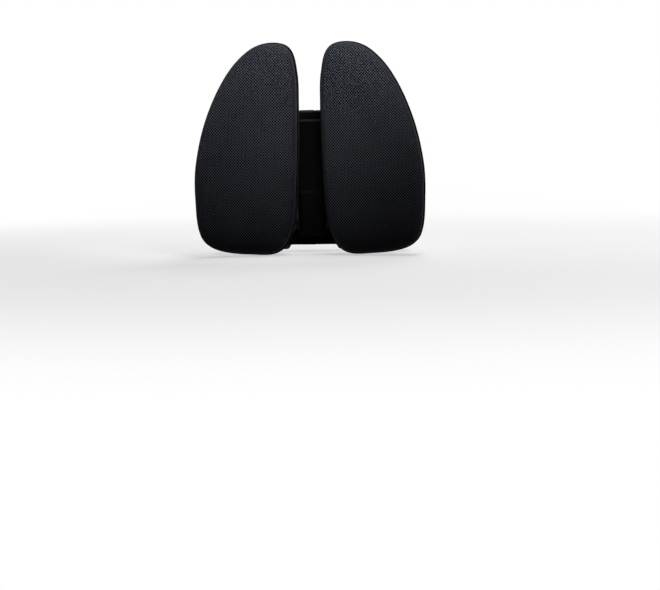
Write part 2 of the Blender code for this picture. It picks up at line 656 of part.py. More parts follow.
# Buckle plug: two barbed prongs and a guide tongue on a block with its own strap bar
plug_half = [
    (-16, 2.4, 1), (-14, 3, 0), (1.5, 3, 0), (1.5, 8.6, 0), (-13, 8.8, 0), (-19.5, 10, 0), (-21, 11.6, 0),
    (-20.4, 13.8, 0), (-12.2, 16.2, 0), (-11.2, 15.6, 0), (-11.2, 12.6, 0), (3, 12.6, 0),
]
plug_outline = plug_half + [(x, -z, radius) for x, z, radius in reversed(plug_half)]
plug_mesh = extruded([rounded_path(plug_outline)], rear - PLUG_HALF_DEPTH, rear + PLUG_HALF_DEPTH, "XZ")
block_half = [(0.3, 17, 2), (12, 17, 6), (18, 16.5, 6), (43, 16.5, 3)]
block_outline = block_half + [(x, -z, radius) for x, z, radius in reversed(block_half)]
block_front, block_rear = rear - PLUG_BLOCK_HALF_DEPTH, rear + PLUG_BLOCK_HALF_DEPTH
plug_block = extruded([rounded_path(block_outline)], block_front, block_rear, "XZ")

# Keeper: a loop that slides along the strap and holds its tail
keeper_outlines = [
    rectangle(rear - 3.4, rear + 5.8, -15.4, 15.4, 2.5), rectangle(rear - 1.4, rear + 3.8, -13.1, 13.1, 1),
]
keeper_mesh = extruded(keeper_outlines, -5, 5, "YZ")

for label, end in (("upper", 1), ("lower", -1)):
    level = Vector((0, 0, end * STRAP_Z))
    add_part(label + "_strap", strap_mesh, webbing, location=level)
    add_part(label + "_strap_end", end_mesh, webbing, location=level)
    socket = add_part(label + "_buckle_socket", socket_mesh, buckle_plastic, location=level)
    shape(socket, [mouth, windows, webbing_slot(-60, -30)], "DIFFERENCE")
    shape(socket, [strap_bar(-BUCKLE_BAR_X)], "UNION")
    plug = add_part(label + "_buckle_plug", plug_mesh, buckle_plastic, location=level)
    shape(plug, [plug_block], "UNION")
    shape(plug, [webbing_slot(30, 60)], "DIFFERENCE")
    shape(plug, [strap_bar(BUCKLE_BAR_X)], "UNION")
    add_part(label + "_strap_keeper", keeper_mesh, buckle_plastic, location=level + Vector((KEEPER_X, 0, 0)))
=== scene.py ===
"""Looks of the strap-on back support: spacer mesh, knit, webbing, moulded plastic and steel."""
import math

import bmesh
import bpy
import numpy as np
from mathutils import Matrix, Vector
from mathutils.geometry import delaunay_2d_cdt, interpolate_bezier, tessellate_polygon


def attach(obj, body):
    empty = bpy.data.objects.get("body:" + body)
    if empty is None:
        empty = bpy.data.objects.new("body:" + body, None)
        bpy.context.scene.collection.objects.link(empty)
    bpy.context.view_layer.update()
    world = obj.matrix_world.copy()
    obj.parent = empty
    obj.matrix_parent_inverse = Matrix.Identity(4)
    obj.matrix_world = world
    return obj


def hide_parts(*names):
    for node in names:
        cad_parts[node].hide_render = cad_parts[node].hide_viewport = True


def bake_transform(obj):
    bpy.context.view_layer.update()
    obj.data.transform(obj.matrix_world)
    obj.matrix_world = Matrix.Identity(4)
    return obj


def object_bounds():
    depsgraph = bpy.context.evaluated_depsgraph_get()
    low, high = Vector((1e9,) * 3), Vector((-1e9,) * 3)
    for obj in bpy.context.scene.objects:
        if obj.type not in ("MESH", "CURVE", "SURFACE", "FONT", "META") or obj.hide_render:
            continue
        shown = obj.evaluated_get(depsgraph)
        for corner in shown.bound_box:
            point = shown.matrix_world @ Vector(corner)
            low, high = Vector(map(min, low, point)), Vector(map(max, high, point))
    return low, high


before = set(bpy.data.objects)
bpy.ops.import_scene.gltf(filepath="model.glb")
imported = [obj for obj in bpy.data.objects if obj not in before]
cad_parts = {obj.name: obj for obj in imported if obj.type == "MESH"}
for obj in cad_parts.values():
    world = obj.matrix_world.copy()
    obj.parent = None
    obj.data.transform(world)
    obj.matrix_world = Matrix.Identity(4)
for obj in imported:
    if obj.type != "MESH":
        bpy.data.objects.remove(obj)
cad_low, cad_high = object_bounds()

MM = 0.001
WELD_DISTANCE = 0.001 * MM
SMOOTH_ANGLE = 40
INSIDE_ONLY = 1
LEAST_GAP = 1e-9

# Sizes are in millimetres down to the stage, in the part's own frame: +X right, +Y rearward, +Z up.
# Right pad's outline from the front, as X and Z, and its wing's cupped rear face, as in the part's source
PAD_OUTLINE = [
    (18, 130), (20, 183), (33, 225), (66, 235), (103.5, 222.5), (142.5, 180), (176.5, 108), (195, 30.5),
    (197.5, -30), (190, -95), (165, -119), (105, -129), (55, -124.5), (29.5, -84.5), (22, -20), (19, 55),
]
PAD_MIDDLE = Vector((105, 40))
PAD_POINTS = 180
TURN_WEIGHT = 80
EDGE_POINTS = 900
CURVE_STEPS = 63
EDGE_ZONE = 16
FULL_INSET = 90
SHELL_REAR_Y = -40
CUP_DEPTH = 26
PAD_OUTER_X = 197
LEAN_PER_METRE = 0.3

# Front of the pads: an elliptical crown over the distance from the outline, sewn down along a seam
CROWN_START = 3.0
CROWN_EDGE = 27.0
CROWN_RISE = 30.0
CROWN_REACH = 75.0
SEAM_INSET = 5.0
SEAM_GROOVE = 0.5
SEAM_ROLL = 1.2
TUCK_INSET = 1.4
TUCK_DEPTH = 1.7

# Spacer mesh: distance between its holes across and up, the share of a cell that is hole, the pits' depth,
# how near the seam holes and yarn come, and the plain backing
MESH_WIDTH = 4.6
MESH_HEIGHT = 5.0
MESH_HOLE = 0.84
MESH_PIT = 0.5
HOLE_MARGIN = 0.9
YARN_MARGIN = 2.0
HOLE_CORNER_YARN = 0.8
SEAM_FADE = 5.0
MESH_THICKNESS = 3.0
BACKING_PITCH = 24.0
BACKING_MARGIN = 6.0

# Sections of the wing's layers: inset from the outline, height off the rear face and, where it isn't nought,
# how far that keeps to the crown where the outline turns. The band's top and lip are depths under the crown
BAND_RISE = [(4.7, 4), (4.7, 10), (4.7, 13.4), (3.5, 20), (3.3, 26), (3.7, 31)]
BAND_TOP = (4.5, 0.7)
BAND_LIP = [(4.95, SEAM_GROOVE), (5.5, 1.2), (5.7, 2.8)]
BAND_INNER = [(5.4, 28), (5.2, 21), (6.6, 13), (6.6, 4)]
BAND_FOLLOWS_FROM = 26
BAND_STEPS = 4
CORE_SECTION = [
    (90, 52.4), (60, 51.2, 1), (40, 48.6, 1), (26, 44.8, 1), (16, 40.2, 1), (10.4, 35.6, 1), (7.4, 30),
    (7, 24), (7.4, 16), (7.6, 9), (8.6, 7.9), (26, 7.9), (50, 7.9), (90, 7.9),
]
SHELL_SECTION = [
    (90, 0), (60, 0), (40, 0), (26, 0), (14, 0), (7, 0.05), (4.4, 0.35), (2.5, 1.1), (1.2, 2.4), (0.7, 4),
    (0.6, 7.8), (0.9, 8.5), (1.6, 8.8), (3, 8.8), (3.6, 8.4), (3.8, 7.8), (4, 3), (26, 3), (40, 3), (60, 3),
    (90, 3),
]
BOARD_SECTION = [
    (90, 3.5), (60, 3.5), (40, 3.5), (26, 3.5), (7.2, 3.5),
    (7.2, 7.4), (26, 7.4), (40, 7.4), (60, 7.4), (90, 7.4),
]
PIPING_SEAT = (2.1, 11.4)
PIPING_RADIUS = 2

# Screws, bosses and vents of the wings
WING_SCREWS = [(62, 186), (158, 62), (164, -72), (72, -104)]
SCREW_BOSS_HEIGHT = 3
SCREW_BOSS_ROOT = 1.5
SCREW_BOSS_RADIUS = 5.5
SCREW_HOLE_RADIUS = 1.9
SCREW_PROFILE = [
    (0, -9.8), (0.9, -9.6), (1.5, -8.8), (1.5, 0.15), (3.5, 0.15), (3.6, 0.3), (3.6, 1.3), (3.3, 1.9),
    (2.7, 2.25), (0, 2.3),
]
RECESS_RADIUS = 1.6
RECESS_SPAN = (0.9, 3)
WALL_CUT = (-90, -20)
VENT_COUNT = 4
VENT_X = 114
VENT_LOWEST_Z = 18
VENT_SPACING = 34
VENT_HALF_LENGTH = 32
VENT_TAPER = 3
VENT_HALF_HEIGHT = 5
VENT_CORNER = 4.5

# Hinges: profiles are radius and height about the pin's axis
HINGE_X = 34
HINGE_Y = -27
PIN_HOLE_RADIUS = 3.3
BUSH_HOLE_RADIUS = 5
KNUCKLE_SPAN = (54, 69)
KNUCKLE_NOSE = [(25, -18, 9), (43, -18, 9), (52, -27, 12)]
ARM_SEATS = (100, 75, 50, 25)
ARM_PROUD = 0.5
ARM_ROOT = 1.6
LUG_SPAN = (70.6, 84.6)
LUG_HALF_WIDTH = 9
PIN_PROFILE = [
    (0, -90), (2.3, -90), (3, -89.2), (3, -87.4), (2.2, -87.4), (2.2, -85.8), (3, -85.8), (3, 85), (5.1, 85),
    (5.4, 85.3), (5.4, 87), (5, 87.8), (4.2, 88.2), (0, 88.2),
]
BUSH_PROFILE = [
    (PIN_HOLE_RADIUS, -14.2), (4.5, -14.2), (4.7, -13.9), (4.7, 0.4),
    (7.3, 0.4), (7.5, 0.6), (7.5, 1.0), (7.3, 1.2), (PIN_HOLE_RADIUS, 1.2),
]
CLIP_OUTER_RADIUS = 6
CLIP_INNER_RADIUS = 2.6
CLIP_SPAN = (-87.1, -86.1)
CLIP_ANGLES = range(40, 321, 8)
SPRING_RADIUS = 6.5
SPRING_TURNS = 6.5
SPRING_PITCH = 3.6
SPRING_WIRE = 1
SPRING_POINTS_A_TURN = 28
PLATE_LEG = [(12, 5, -0.8), (9, 3, -0.6), (6, 1.5, -0.4), (3, 0.4, -0.2)]
SHELL_LEG = [(4, -0.3, 0.2), (8, -1, 0.4), (18, -3, 0.6), (30, -5.2, 0.8)]

# Spine: plate with lugs, slots and ribs, its cover and grip pad; corners of outlines end with a radius
PLATE_HALF = [
    (50, 80, 8), (60, 86, 6), (60, 123, 8), (44, 123, 6), (38, 112, 10), (-38, 112, 10), (-44, 123, 6),
    (-60, 123, 8), (-60, 86, 6), (-50, 80, 8),
]
PLATE_FRONT_Y = -14
PLATE_REAR_Y = -8
PLATE_OVERLAP = 1
SLOT_X = 52
SLOT_HALF_WIDTH = 2.5
SLOT_SPAN = (88.5, 116.5)
SLOT_CORNER = 2
RIB_X = 40
RIB_Z = 79.5
RIB_HALF_WIDTH = 1.5
RIB_REAR_Y = -3
COVER_HALF_WIDTH = 22
COVER_TOP_Z = 102.5
COVER_BOTTOM_Z = -100
COVER_FACE_Y = -31
COVER_STEP_Y = -34
COVER_REAR_Y = -14.3
COVER_SIDE = [
    (COVER_REAR_Y, COVER_TOP_Z, 0), (-27.5, COVER_TOP_Z, 0), (COVER_FACE_Y, 99, 0), (COVER_FACE_Y, -20, 0),
    (COVER_STEP_Y, -24.5, 0), (COVER_STEP_Y, -96.5, 0), (-30.5, COVER_BOTTOM_Z, 0),
    (COVER_REAR_Y, COVER_BOTTOM_Z, 0),
]
COVER_CORNER = 6
COVER_WALL = 2.5
COVER_CLEAR_Y = -10
COVER_SCREW_Z = 72
COVER_POST_RADIUS = 4.5
COVER_POST_FRONT_Y = -29.5
COVER_POST_HOLE = 1.8
PLATE_CUT = (-20, 0)
STRAP_NOTCH_SPAN = (88.5, 106)
STRAP_NOTCH_FRONT_Y = -18.4
STRAP_NOTCH_HALF_WIDTH = 30
# Painted highlight on the cover: how far a face must look up and forward to get it, and its share on the
# lower step
HIGHLIGHT_SLOPE = 0.5
STEP_HIGHLIGHT_SHARE = 0.4
GRIP_HALF_WIDTH = 34
GRIP_HALF_HEIGHT = 62
GRIP_CORNER = 10
GRIP_FRONT_Y = -7.6

# Straps: webbing through the plate's slots and in a loop behind it, its ends turned round the buckles' bars
STRAP_Z = 102.5
STRAP_REAR_Y = 58
STRAP_FRONT_Y = -16
STRAP_NEAR_Y = -1
STRAP_SIDE_X = 165
STRAP_END_X = 112
STRAP_HALF_WIDTH = 12.5
STRAP_THICKNESS = 1.6
SELVEDGE = 0.6
SELVEDGE_SHARE = 0.55
TAIL_GAP = 2.4
LAP_GAP = 2.0
ELASTIC_GAP = 1.0
ELASTIC_STEP = 4
LAP_X = (138, 110, 100)
ELASTIC_TAIL_X = (58, 74)
SLACK_RADIUS = 20
SIDE_RADIUS = 24
NEAR_RADIUS = 18
SLOT_TURN = (6, 4.5)
BAR_X = 39.5
BAR_RADIUS = 1.9
BAR_HALF_LENGTH = 14.5
BAR_LOOP = 3.1
LOOP_BEND_X = 48
LOOP_START_X = 60
STITCH_BOX = (115, 135, 9.5)
STITCH_PITCH = 3.5
STITCH_SIDES = 8
STITCH_FLATNESS = 0.6
STITCH_SHAPE = ((-0.42, 0.12), (-0.34, 0.3), (0, 0.38), (0.34, 0.3), (0.42, 0.12))

# Buckles and keepers: halves of their outlines about the strap's middle line, and depths either side of it
SOCKET_HALF = [(0, 17.5, 2), (-24, 17.5, 6), (-30, 16.5, 6), (-43, 16.5, 3)]
SOCKET_HALF_DEPTH = 5.5
SOCKET_CAVITY = (-25, 5, 13.4)
SOCKET_WINDOW = (-22.5, -10, 25)
CAVITY_HALF_DEPTH = 3.2
WEBBING_GAP = (30, 60, 13.3)
GAP_HALF_DEPTH = 9
GAP_CORNER = 1
PRONG_HALF = [
    (-16, 2.4, 1), (-14, 3, 0), (1.5, 3, 0), (1.5, 8.6, 0), (-13, 8.8, 3), (-19.5, 10, 2), (-21, 11.6, 0.6),
    (-20.4, 13.8, 0.6), (-12.2, 16.2, 0.6), (-11.2, 15.6, 0.3), (-11.2, 12.6, 0), (3, 12.6, 0),
]
PRONG_HALF_DEPTH = 2.6
PLUG_HALF = [(0.3, -17, 2), (12, -17, 6), (18, -16.5, 6), (43, -16.5, 2)]
PLUG_HALF_DEPTH = 4.6
KEEPER_X = -82
KEEPER_HALF_LENGTH = 5
KEEPER_OUTER = (-3.4, 5.8, 15.4, 2.5)
KEEPER_INNER = (-1.4, 3.8, 13.1, 1)

# Colours of the spacer mesh, whose yarn carries painted sheen and whose pits painted shade, and of the
# painted highlight on the cover's chamfers
YARN_TONE_AND_PAINTED_SHEEN = ((0.206, 0.228, 0.281), (0.263, 0.292, 0.361))
PIT_PAINTED_SHADE = (0.0015, 0.0016, 0.002)
SEAM_COLOUR = (0.031, 0.034, 0.042)
PAINTED_HIGHLIGHT_COLOUR = (0.010, 0.010, 0.0105)


def finished(build, smooth_angle=None):
    """Mesh from a bmesh, with its faces turned outwards."""
    bmesh.ops.recalc_face_normals(build, faces=build.faces)
    mesh = bpy.data.meshes.new("piece")
    build.to_mesh(mesh)
    build.free()
    return mesh if smooth_angle is None else shaded(mesh, smooth_angle)


def shaded(mesh, smooth_angle=SMOOTH_ANGLE):
    """The mesh shaded smooth, except at edges sharper than the angle in degrees."""
    mesh.shade_smooth()
    mesh.set_sharp_from_angle(angle=math.radians(smooth_angle))
    return mesh


def skin(rings, joined=False, smooth_angle=SMOOTH_ANGLE):
    """Closed surface over rings; a ring of one point is a tip, and joined links last to first."""
    build = bmesh.new()
    rows = [[build.verts.new(spot) for spot in ring] for ring in rings]
    pairs = list(zip(rows, rows[1:]))
    if joined:
        pairs.append((rows[-1], rows[0]))
    else:
        for end in (rows[0], rows[-1]):
            if len(end) > 1:
                build.faces.new(end)
    for first, second in pairs:
        count = max(len(first), len(second))
        for index in range(count):
            following = (index + 1) % count
            corners = [
                first[index % len(first)], first[following % len(first)],
                second[following % len(second)], second[index % len(second)],
            ]
            build.faces.new(list(dict.fromkeys(corners)))
    return finished(build, smooth_angle)


def prism(outlines, low, high, axes="XY"):
    """Solid between two levels of an outline; outlines after the first are holes."""
    order = {"XY": (0, 1, 2), "XZ": (0, 2, 1), "YZ": (2, 0, 1)}[axes]
    build = bmesh.new()
    caps = ([], [])
    for outline in outlines:
        rings = []
        for cap, level in zip(caps, (low, high)):
            places = [(*spot, level * MM) for spot in outline]
            rings.append([build.verts.new([place[axis] for axis in order]) for place in places])
            cap += rings[-1]
        under, over = rings
        for index in range(len(outline)):
            build.faces.new((under[index - 1], under[index], over[index], over[index - 1]))
    for triangle in tessellate_polygon([[spot.to_3d() for spot in outline] for outline in outlines]):
        for cap in caps:
            build.faces.new([cap[corner] for corner in triangle])
    return finished(build)


def full_turn(sides):
    """Angles of a circle's points."""
    return [2 * math.pi * side / sides for side in range(sides)]


def polar(radius, turn, *height):
    """Place round the origin, at a height where one is given."""
    return Vector((radius * math.cos(turn), radius * math.sin(turn), *height)) * MM


def turned(profile, sides, hollow=False):
    """Solid of revolution from (radius, height) pairs; hollow closes the profile on itself."""
    turns = full_turn(sides)
    if hollow:
        rings = [[polar(radius, turn, height) for radius, height in profile] for turn in turns]
        return skin(rings, joined=True)
    rings = []
    for radius, height in profile:
        rings.append([polar(radius, turn, height) for turn in (turns if radius else [0])])
    return skin(rings)


def tube(path, radius, upright, sides=12, joined=False):
    """Round wire along a path in metres that never runs near the upright axis."""
    rings = []
    total = len(path)
    for index, spot in enumerate(path):
        behind = path[index - 1] if joined or index > 0 else spot
        ahead = path[(index + 1) % total] if joined or index < total - 1 else spot
        across = (ahead - behind).cross(upright).normalized()
        over = across.cross(ahead - behind).normalized()
        spokes = [math.cos(turn) * across + math.sin(turn) * over for turn in full_turn(sides)]
        rings.append([spot + radius * MM * spoke for spoke in spokes])
    return skin(rings, joined, smooth_angle=60)


def rounded_path(corners, closed=True, step=9):
    """Outline with (x, y, radius) corners, whose arcs go in steps of so many degrees."""
    path = []
    total = len(corners)
    for index, (x, y, radius) in enumerate(corners):
        corner = Vector((x, y))
        if radius == 0 or (not closed and index in (0, total - 1)):
            path.append(corner * MM)
            continue
        arrive = (corner - Vector(corners[index - 1][:2])).normalized()
        leave = (Vector(corners[(index + 1) % total][:2]) - corner).normalized()
        bend = arrive.angle(leave)
        start = corner - arrive * radius * math.tan(bend / 2)
        side = 1 if arrive.cross(leave) > 0 else -1
        centre = start + Vector((-arrive.y, arrive.x)) * radius * side
        steps = max(1, math.ceil(math.degrees(bend) / step))
        for count in range(steps + 1):
            turn = Matrix.Rotation(side * bend * count / steps, 2)
            path.append((centre + turn @ (start - centre)) * MM)
    apart = [index == 0 or (spot - path[index - 1]).length > WELD_DISTANCE for index, spot in enumerate(path)]
    return [spot for spot, kept in zip(path, apart) if kept]


def both_sides(half):
    """Outline that is the same on both sides of X, from the corners of one half."""
    return rounded_path(half + [(x, -y, radius) for x, y, radius in reversed(half)])


def both_ends(span):
    """A span above the middle and its mirror image below, lower one first."""
    return [(-span[1], -span[0]), span]


def around(middle, half):
    """Limits at equal distances from a middle."""
    return middle - half, middle + half


def rectangle(left, right, low, high, radius=0):
    """Rounded rectangle."""
    corners = [(left, low), (right, low), (right, high), (left, high)]
    return rounded_path([(*corner, radius) for corner in corners])


def circle(x, y, radius, sides=40):
    """Round outline."""
    turns = full_turn(sides)
    return [Vector((x + radius * math.cos(turn), y + radius * math.sin(turn))) * MM for turn in turns]


def block(left, right, front, rear, low, high):
    """Box from its limits."""
    return prism([rectangle(left, right, front, rear)], low, high)


def rod(x, z, radius, front, rear, sides=40):
    """Round bar along Y."""
    return prism([circle(x, z, radius, sides)], front, rear, "XZ")


def linked(name, data):
    """New object in the scene that shows a mesh, a lamp or a camera."""
    made = bpy.data.objects.new(name, data)
    bpy.context.collection.objects.link(made)
    return made


def changed(mesh, kind, *choices):
    """The mesh after modifiers of a kind, one for each set of settings."""
    body = linked("body", mesh)
    for settings in choices:
        modifier = body.modifiers.new(kind, kind)
        for key, value in settings.items():
            setattr(modifier, key, value)
    state = bpy.context.evaluated_depsgraph_get()
    result = bpy.data.meshes.new_from_object(body.evaluated_get(state))
    bpy.data.objects.remove(body)
    return result


def combined(mesh, tools, operation):
    """The mesh after a UNION, DIFFERENCE or INTERSECT with each tool mesh."""
    helpers = [linked("tool", tool) for tool in tools]
    result = changed(mesh, "BOOLEAN", *[{"operation": operation, "object": helper} for helper in helpers])
    for helper in helpers:
        bpy.data.objects.remove(helper)
    return result


def cleaned(mesh, flat_angle=0.5):
    """The mesh with coinciding points merged and faces in one plane joined."""
    build = bmesh.new()
    build.from_mesh(mesh)
    bmesh.ops.remove_doubles(build, verts=build.verts, dist=WELD_DISTANCE)
    limit = math.radians(flat_angle)
    bmesh.ops.dissolve_limit(build, angle_limit=limit, verts=build.verts, edges=build.edges)
    build.to_mesh(mesh)
    build.free()
    return mesh


def softened(mesh, width, segments=2, angle=35):
    """The mesh with edges sharper than the angle in degrees rounded."""
    bevel = {"width": width * MM, "segments": segments, "miter_outer": "MITER_ARC"}
    bevel |= {"limit_method": "ANGLE", "angle_limit": math.radians(angle)}
    return shaded(changed(cleaned(mesh), "BEVEL", bevel))


def moved(mesh, offset):
    """The mesh shifted by an offset."""
    mesh.transform(Matrix.Translation(Vector(offset) * MM))
    return mesh


def mirrored(mesh):
    """The mesh reflected in the middle plane."""
    mesh.transform(Matrix.Diagonal((-1, 1, 1, 1)))
    mesh.flip_normals()
    return mesh


def add_piece(name, mesh, finish, body, slot, *nodes):
    """Piece that rides on a body, takes a finish and stands for CAD nodes."""
    mesh.materials.clear()
    mesh.materials.append(finish)
    made = linked(name, mesh)
    if body:
        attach(made, body)
    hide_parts(*nodes)
    return made


class Nodes:
    """Shader nodes under construction."""

    def __init__(self, tree):
        self.tree = tree

    def give(self, socket, value):
        """Link another node's output to an input, or set it; a plain colour gets full alpha."""
        if isinstance(value, bpy.types.NodeSocket):
            self.tree.links.new(value, socket)
        else:
            socket.default_value = (*value, 1.0) if isinstance(value, tuple) else value

    def feed(self, node, *ordered, **named):
        """The node with its first inputs fed in order and others by name."""
        for index, value in enumerate(ordered):
            self.give(node.inputs[index], value)
        for name, value in named.items():
            self.give(node.inputs[name.replace("_", " ")], value)
        return node

    def add(self, kind, *ordered, settings=None, **named):
        """New node of a kind, with its settings made and its inputs fed."""
        made = self.tree.nodes.new("ShaderNode" + kind)
        for key, value in (settings or {}).items():
            setattr(made, key, value)
        return self.feed(made, *ordered, **named)

    def place(self, kind="Object"):
        return self.add("TexCoord").outputs[kind]

    def attribute(self, name):
        return self.add("Attribute", settings={"attribute_name": name}).outputs["Fac"]

    def noise(self, size, detail=3.0, where=None):
        """Noise whose lumps are about the size."""
        where = where or self.place()
        return self.add("TexNoise", where, Scale=1 / (size * MM), Detail=detail).outputs["Fac"]

    def cells(self, scale):
        """Distance from the middles of irregular cells, so many to the metre."""
        return self.add("TexVoronoi", self.place(), Scale=scale).outputs["Distance"]

    def ranged(self, value, low=0.0, high=1.0, start=0.0, end=1.0, smooth=False):
        """The value mapped from the range of start to end to that of low to high."""
        settings = {"interpolation_type": "SMOOTHSTEP" if smooth else "LINEAR"}
        return self.add("MapRange", value, start, end, low, high, settings=settings).outputs["Result"]

    def maths(self, first, second, operation="ADD"):
        return self.add("Math", first, second, settings={"operation": operation}).outputs[0]

    def mix(self, factor, dark, light):
        """Colour between two by a factor."""
        blend = self.add("Mix", factor, settings={"data_type": "RGBA"})
        ends = [socket for socket in blend.inputs if socket.type == "RGBA"]
        for end, shade in zip(ends, (dark, light)):
            self.give(end, shade)
        return [socket for socket in blend.outputs if socket.type == "RGBA"][0]

    def shades(self, factor, colour, dark, light):
        """Colour that goes by a factor from a darker share of itself to a lighter one."""
        return self.mix(factor, *[tuple(channel * share for channel in colour) for share in (dark, light)])

    def seen_directly(self):
        """One for what is seen directly, reflected or through glass, nought for scattered light."""
        rays = self.add("LightPath")
        direct = rays.outputs["Is Camera Ray"]
        for kind in ("Is Glossy Ray", "Is Transmission Ray"):
            direct = self.maths(direct, rays.outputs[kind], "MAXIMUM")
        return direct


class Finish(Nodes):
    """Material under construction: a Principled shader and the nodes that feed it."""

    def __init__(self, name, colour, roughness, metallic=0.0, specular=0.5):
        self.material = bpy.data.materials.new(name)
        self.material.use_nodes = True
        self.material.diffuse_color = (*colour, 1.0)
        super().__init__(self.material.node_tree)
        self.shader = self.tree.nodes["Principled BSDF"]
        self.dress(Base_Color=colour, Roughness=roughness, Metallic=metallic, Specular_IOR_Level=specular)

    def dress(self, relief=None, depth=0.0, **inputs):
        """The material with its shader's inputs fed and, where a relief is given, a bump."""
        self.feed(self.shader, **inputs)
        if relief:
            bump = self.add("Bump", Strength=1.0, Distance=depth * MM, Height=relief)
            self.feed(self.shader, Normal=bump.outputs["Normal"])
        return self.material


def moulded(name, colour, roughness, specular=0.3, grain=0.7, depth=0.06, painted_highlight=None):
    """Moulded plastic with grain and handling marks; its last argument is the colour of a painted highlight
    on marked faces.
    """
    finish = Finish(name, colour, roughness, specular=specular)
    marks = finish.noise(size=30, detail=4.0)
    shade = finish.shades(marks, colour, dark=0.75, light=1.35)
    # Painted highlight: faces marked in the attribute take a lighter colour where light from above would
    # catch them
    if painted_highlight:
        shade = finish.mix(finish.attribute("painted_highlight"), shade, painted_highlight)
    rough = finish.maths(finish.ranged(marks, low=-0.10, high=0.10), roughness)
    return finish.dress(finish.noise(size=grain, detail=2.0), depth, Base_Color=shade, Roughness=rough)


def spacer_mesh():
    """Open mesh: darkened in its pits as painted shade, lightened on the yarn between them as painted sheen,
    and plain at the seam.
    """
    finish = Finish("spacer_mesh", (0.036, 0.038, 0.044), 0.62, specular=0.02)
    # Painted shade in the pits and painted sheen on the yarn: the yarn attribute mixes a near black into a
    # light grey
    net = finish.ranged(finish.attribute("yarn"), start=0.68, smooth=True)
    yarn = finish.mix(finish.noise(size=50), *YARN_TONE_AND_PAINTED_SHEEN)
    shade = finish.mix(finish.attribute("openness"), SEAM_COLOUR, finish.mix(net, PIT_PAINTED_SHADE, yarn))
    fibre = finish.noise(size=0.5, detail=2.0)
    return finish.dress(fibre, 0.2, Base_Color=shade, Roughness=finish.ranged(fibre, low=0.50, high=0.75))


def knit(name, colour):
    """Smooth stretch knit with fine wales."""
    finish = Finish(name, colour, 0.7, specular=0.04)
    finish.dress(Sheen_Weight=0.05, Sheen_Roughness=0.35)
    wales = finish.add("TexWave", finish.place(), settings={"wave_type": "BANDS", "bands_direction": "Z"})
    finish.feed(wales, Scale=420.0, Distortion=1.5, Detail_Scale=2.0)
    fibre = finish.noise(size=0.6, detail=2.0)
    relief = finish.maths(wales.outputs["Fac"], fibre)
    shade = finish.shades(finish.noise(size=40), colour, dark=0.7, light=1.3)
    return finish.dress(relief, 0.05, Base_Color=shade, Roughness=finish.ranged(fibre, low=0.58, high=0.82))


def woven(name, colour, yarn_length, yarn_width, painted_shade_ratio=1.0):
    """Webbing of staggered yarns; its last argument is how much lighter it is at the rear than at the front,
    whose darker colour is painted shade.
    """
    finish = Finish(name, colour, 0.75, specular=0.015)
    where = finish.place("UV")
    bricks = finish.add("TexBrick", where, settings={"offset": 0.5, "squash": 1.0}, Scale=1.0, Bias=0.0)
    finish.feed(bricks, Brick_Width=yarn_length * MM, Row_Height=yarn_width * MM)
    finish.feed(bricks, Mortar_Size=0.14 * MM, Mortar_Smooth=0.8)
    yarns = finish.ranged(bricks.outputs["Fac"], low=1.0, high=0.0)
    # Darker towards the front as painted shade where the strap runs between the pads, lighter towards the
    # rear
    depth = finish.add("SeparateXYZ", finish.place()).outputs["Y"]
    out_of_painted_shade = finish.ranged(depth, end=0.03, smooth=True)
    gaps, tops = [finish.shades(out_of_painted_shade, colour, share, share * painted_shade_ratio) for share in (0.35, 1.5)]
    fibre = finish.noise(size=0.4, detail=2.0, where=where)
    relief = finish.maths(yarns, finish.ranged(fibre, high=0.4))
    rough = finish.ranged(fibre, low=0.62, high=0.88)
    return finish.dress(relief, 0.25, Base_Color=finish.mix(yarns, gaps, tops), Roughness=rough)


def metal(name, colour, roughness):
    """Drawn steel with fine marks."""
    finish = Finish(name, colour, roughness, metallic=1.0)
    marks = finish.noise(size=1.5, detail=4.0)
    rough = finish.ranged(marks, low=roughness - 0.08, high=roughness + 0.12)
    return finish.dress(marks, 0.02, Roughness=rough)


def open_foam():
    """Open-cell foam."""
    finish = Finish("open_foam", (0.05, 0.05, 0.055), 0.95, specular=0.1)
    cells = finish.cells(scale=700.0)
    return finish.dress(cells, 0.4, Base_Color=finish.mix(cells, (0.02, 0.02, 0.022), (0.07, 0.07, 0.078)))


def grip_rubber():
    """Matt rubber with a fine stipple."""
    finish = Finish("grip_rubber", (0.014, 0.014, 0.015), 0.82, specular=0.25)
    dust = finish.noise(size=20, detail=5.0)
    shade = finish.mix(dust, (0.010, 0.010, 0.011), (0.022, 0.022, 0.023))
    rough = finish.ranged(dust, low=0.72, high=0.92)
    return finish.dress(finish.cells(scale=550.0), 0.2, Base_Color=shade, Roughness=rough)


mesh_fabric = spacer_mesh()
side_fabric = knit("side_knit", (0.022, 0.024, 0.029))
piping_fabric = knit("piping_knit", (0.009, 0.010, 0.012))
shell_plastic = moulded("shell_plastic", (0.014, 0.014, 0.016), 0.48, 0.4)
frame_plastic = moulded("frame_plastic", (0.008, 0.008, 0.009), 0.5, 0.2)
# Cover: darker than the plate's same plastic as painted shade between the pads, with a painted highlight on
# its chamfers
cover_plastic = moulded("cover_plastic", (0.0022, 0.0022, 0.0026), 0.55, 0.02, painted_highlight=PAINTED_HIGHLIGHT_COLOUR)
board_plastic = moulded("board_plastic", (0.030, 0.030, 0.032), 0.6)
buckle_plastic = moulded("buckle_plastic", (0.010, 0.010, 0.011), 0.36, 0.25, grain=0.5, depth=0.03)
bush_plastic = moulded("bush_plastic", (0.012, 0.012, 0.013), 0.4, 0.2, grain=0.5, depth=0.02)
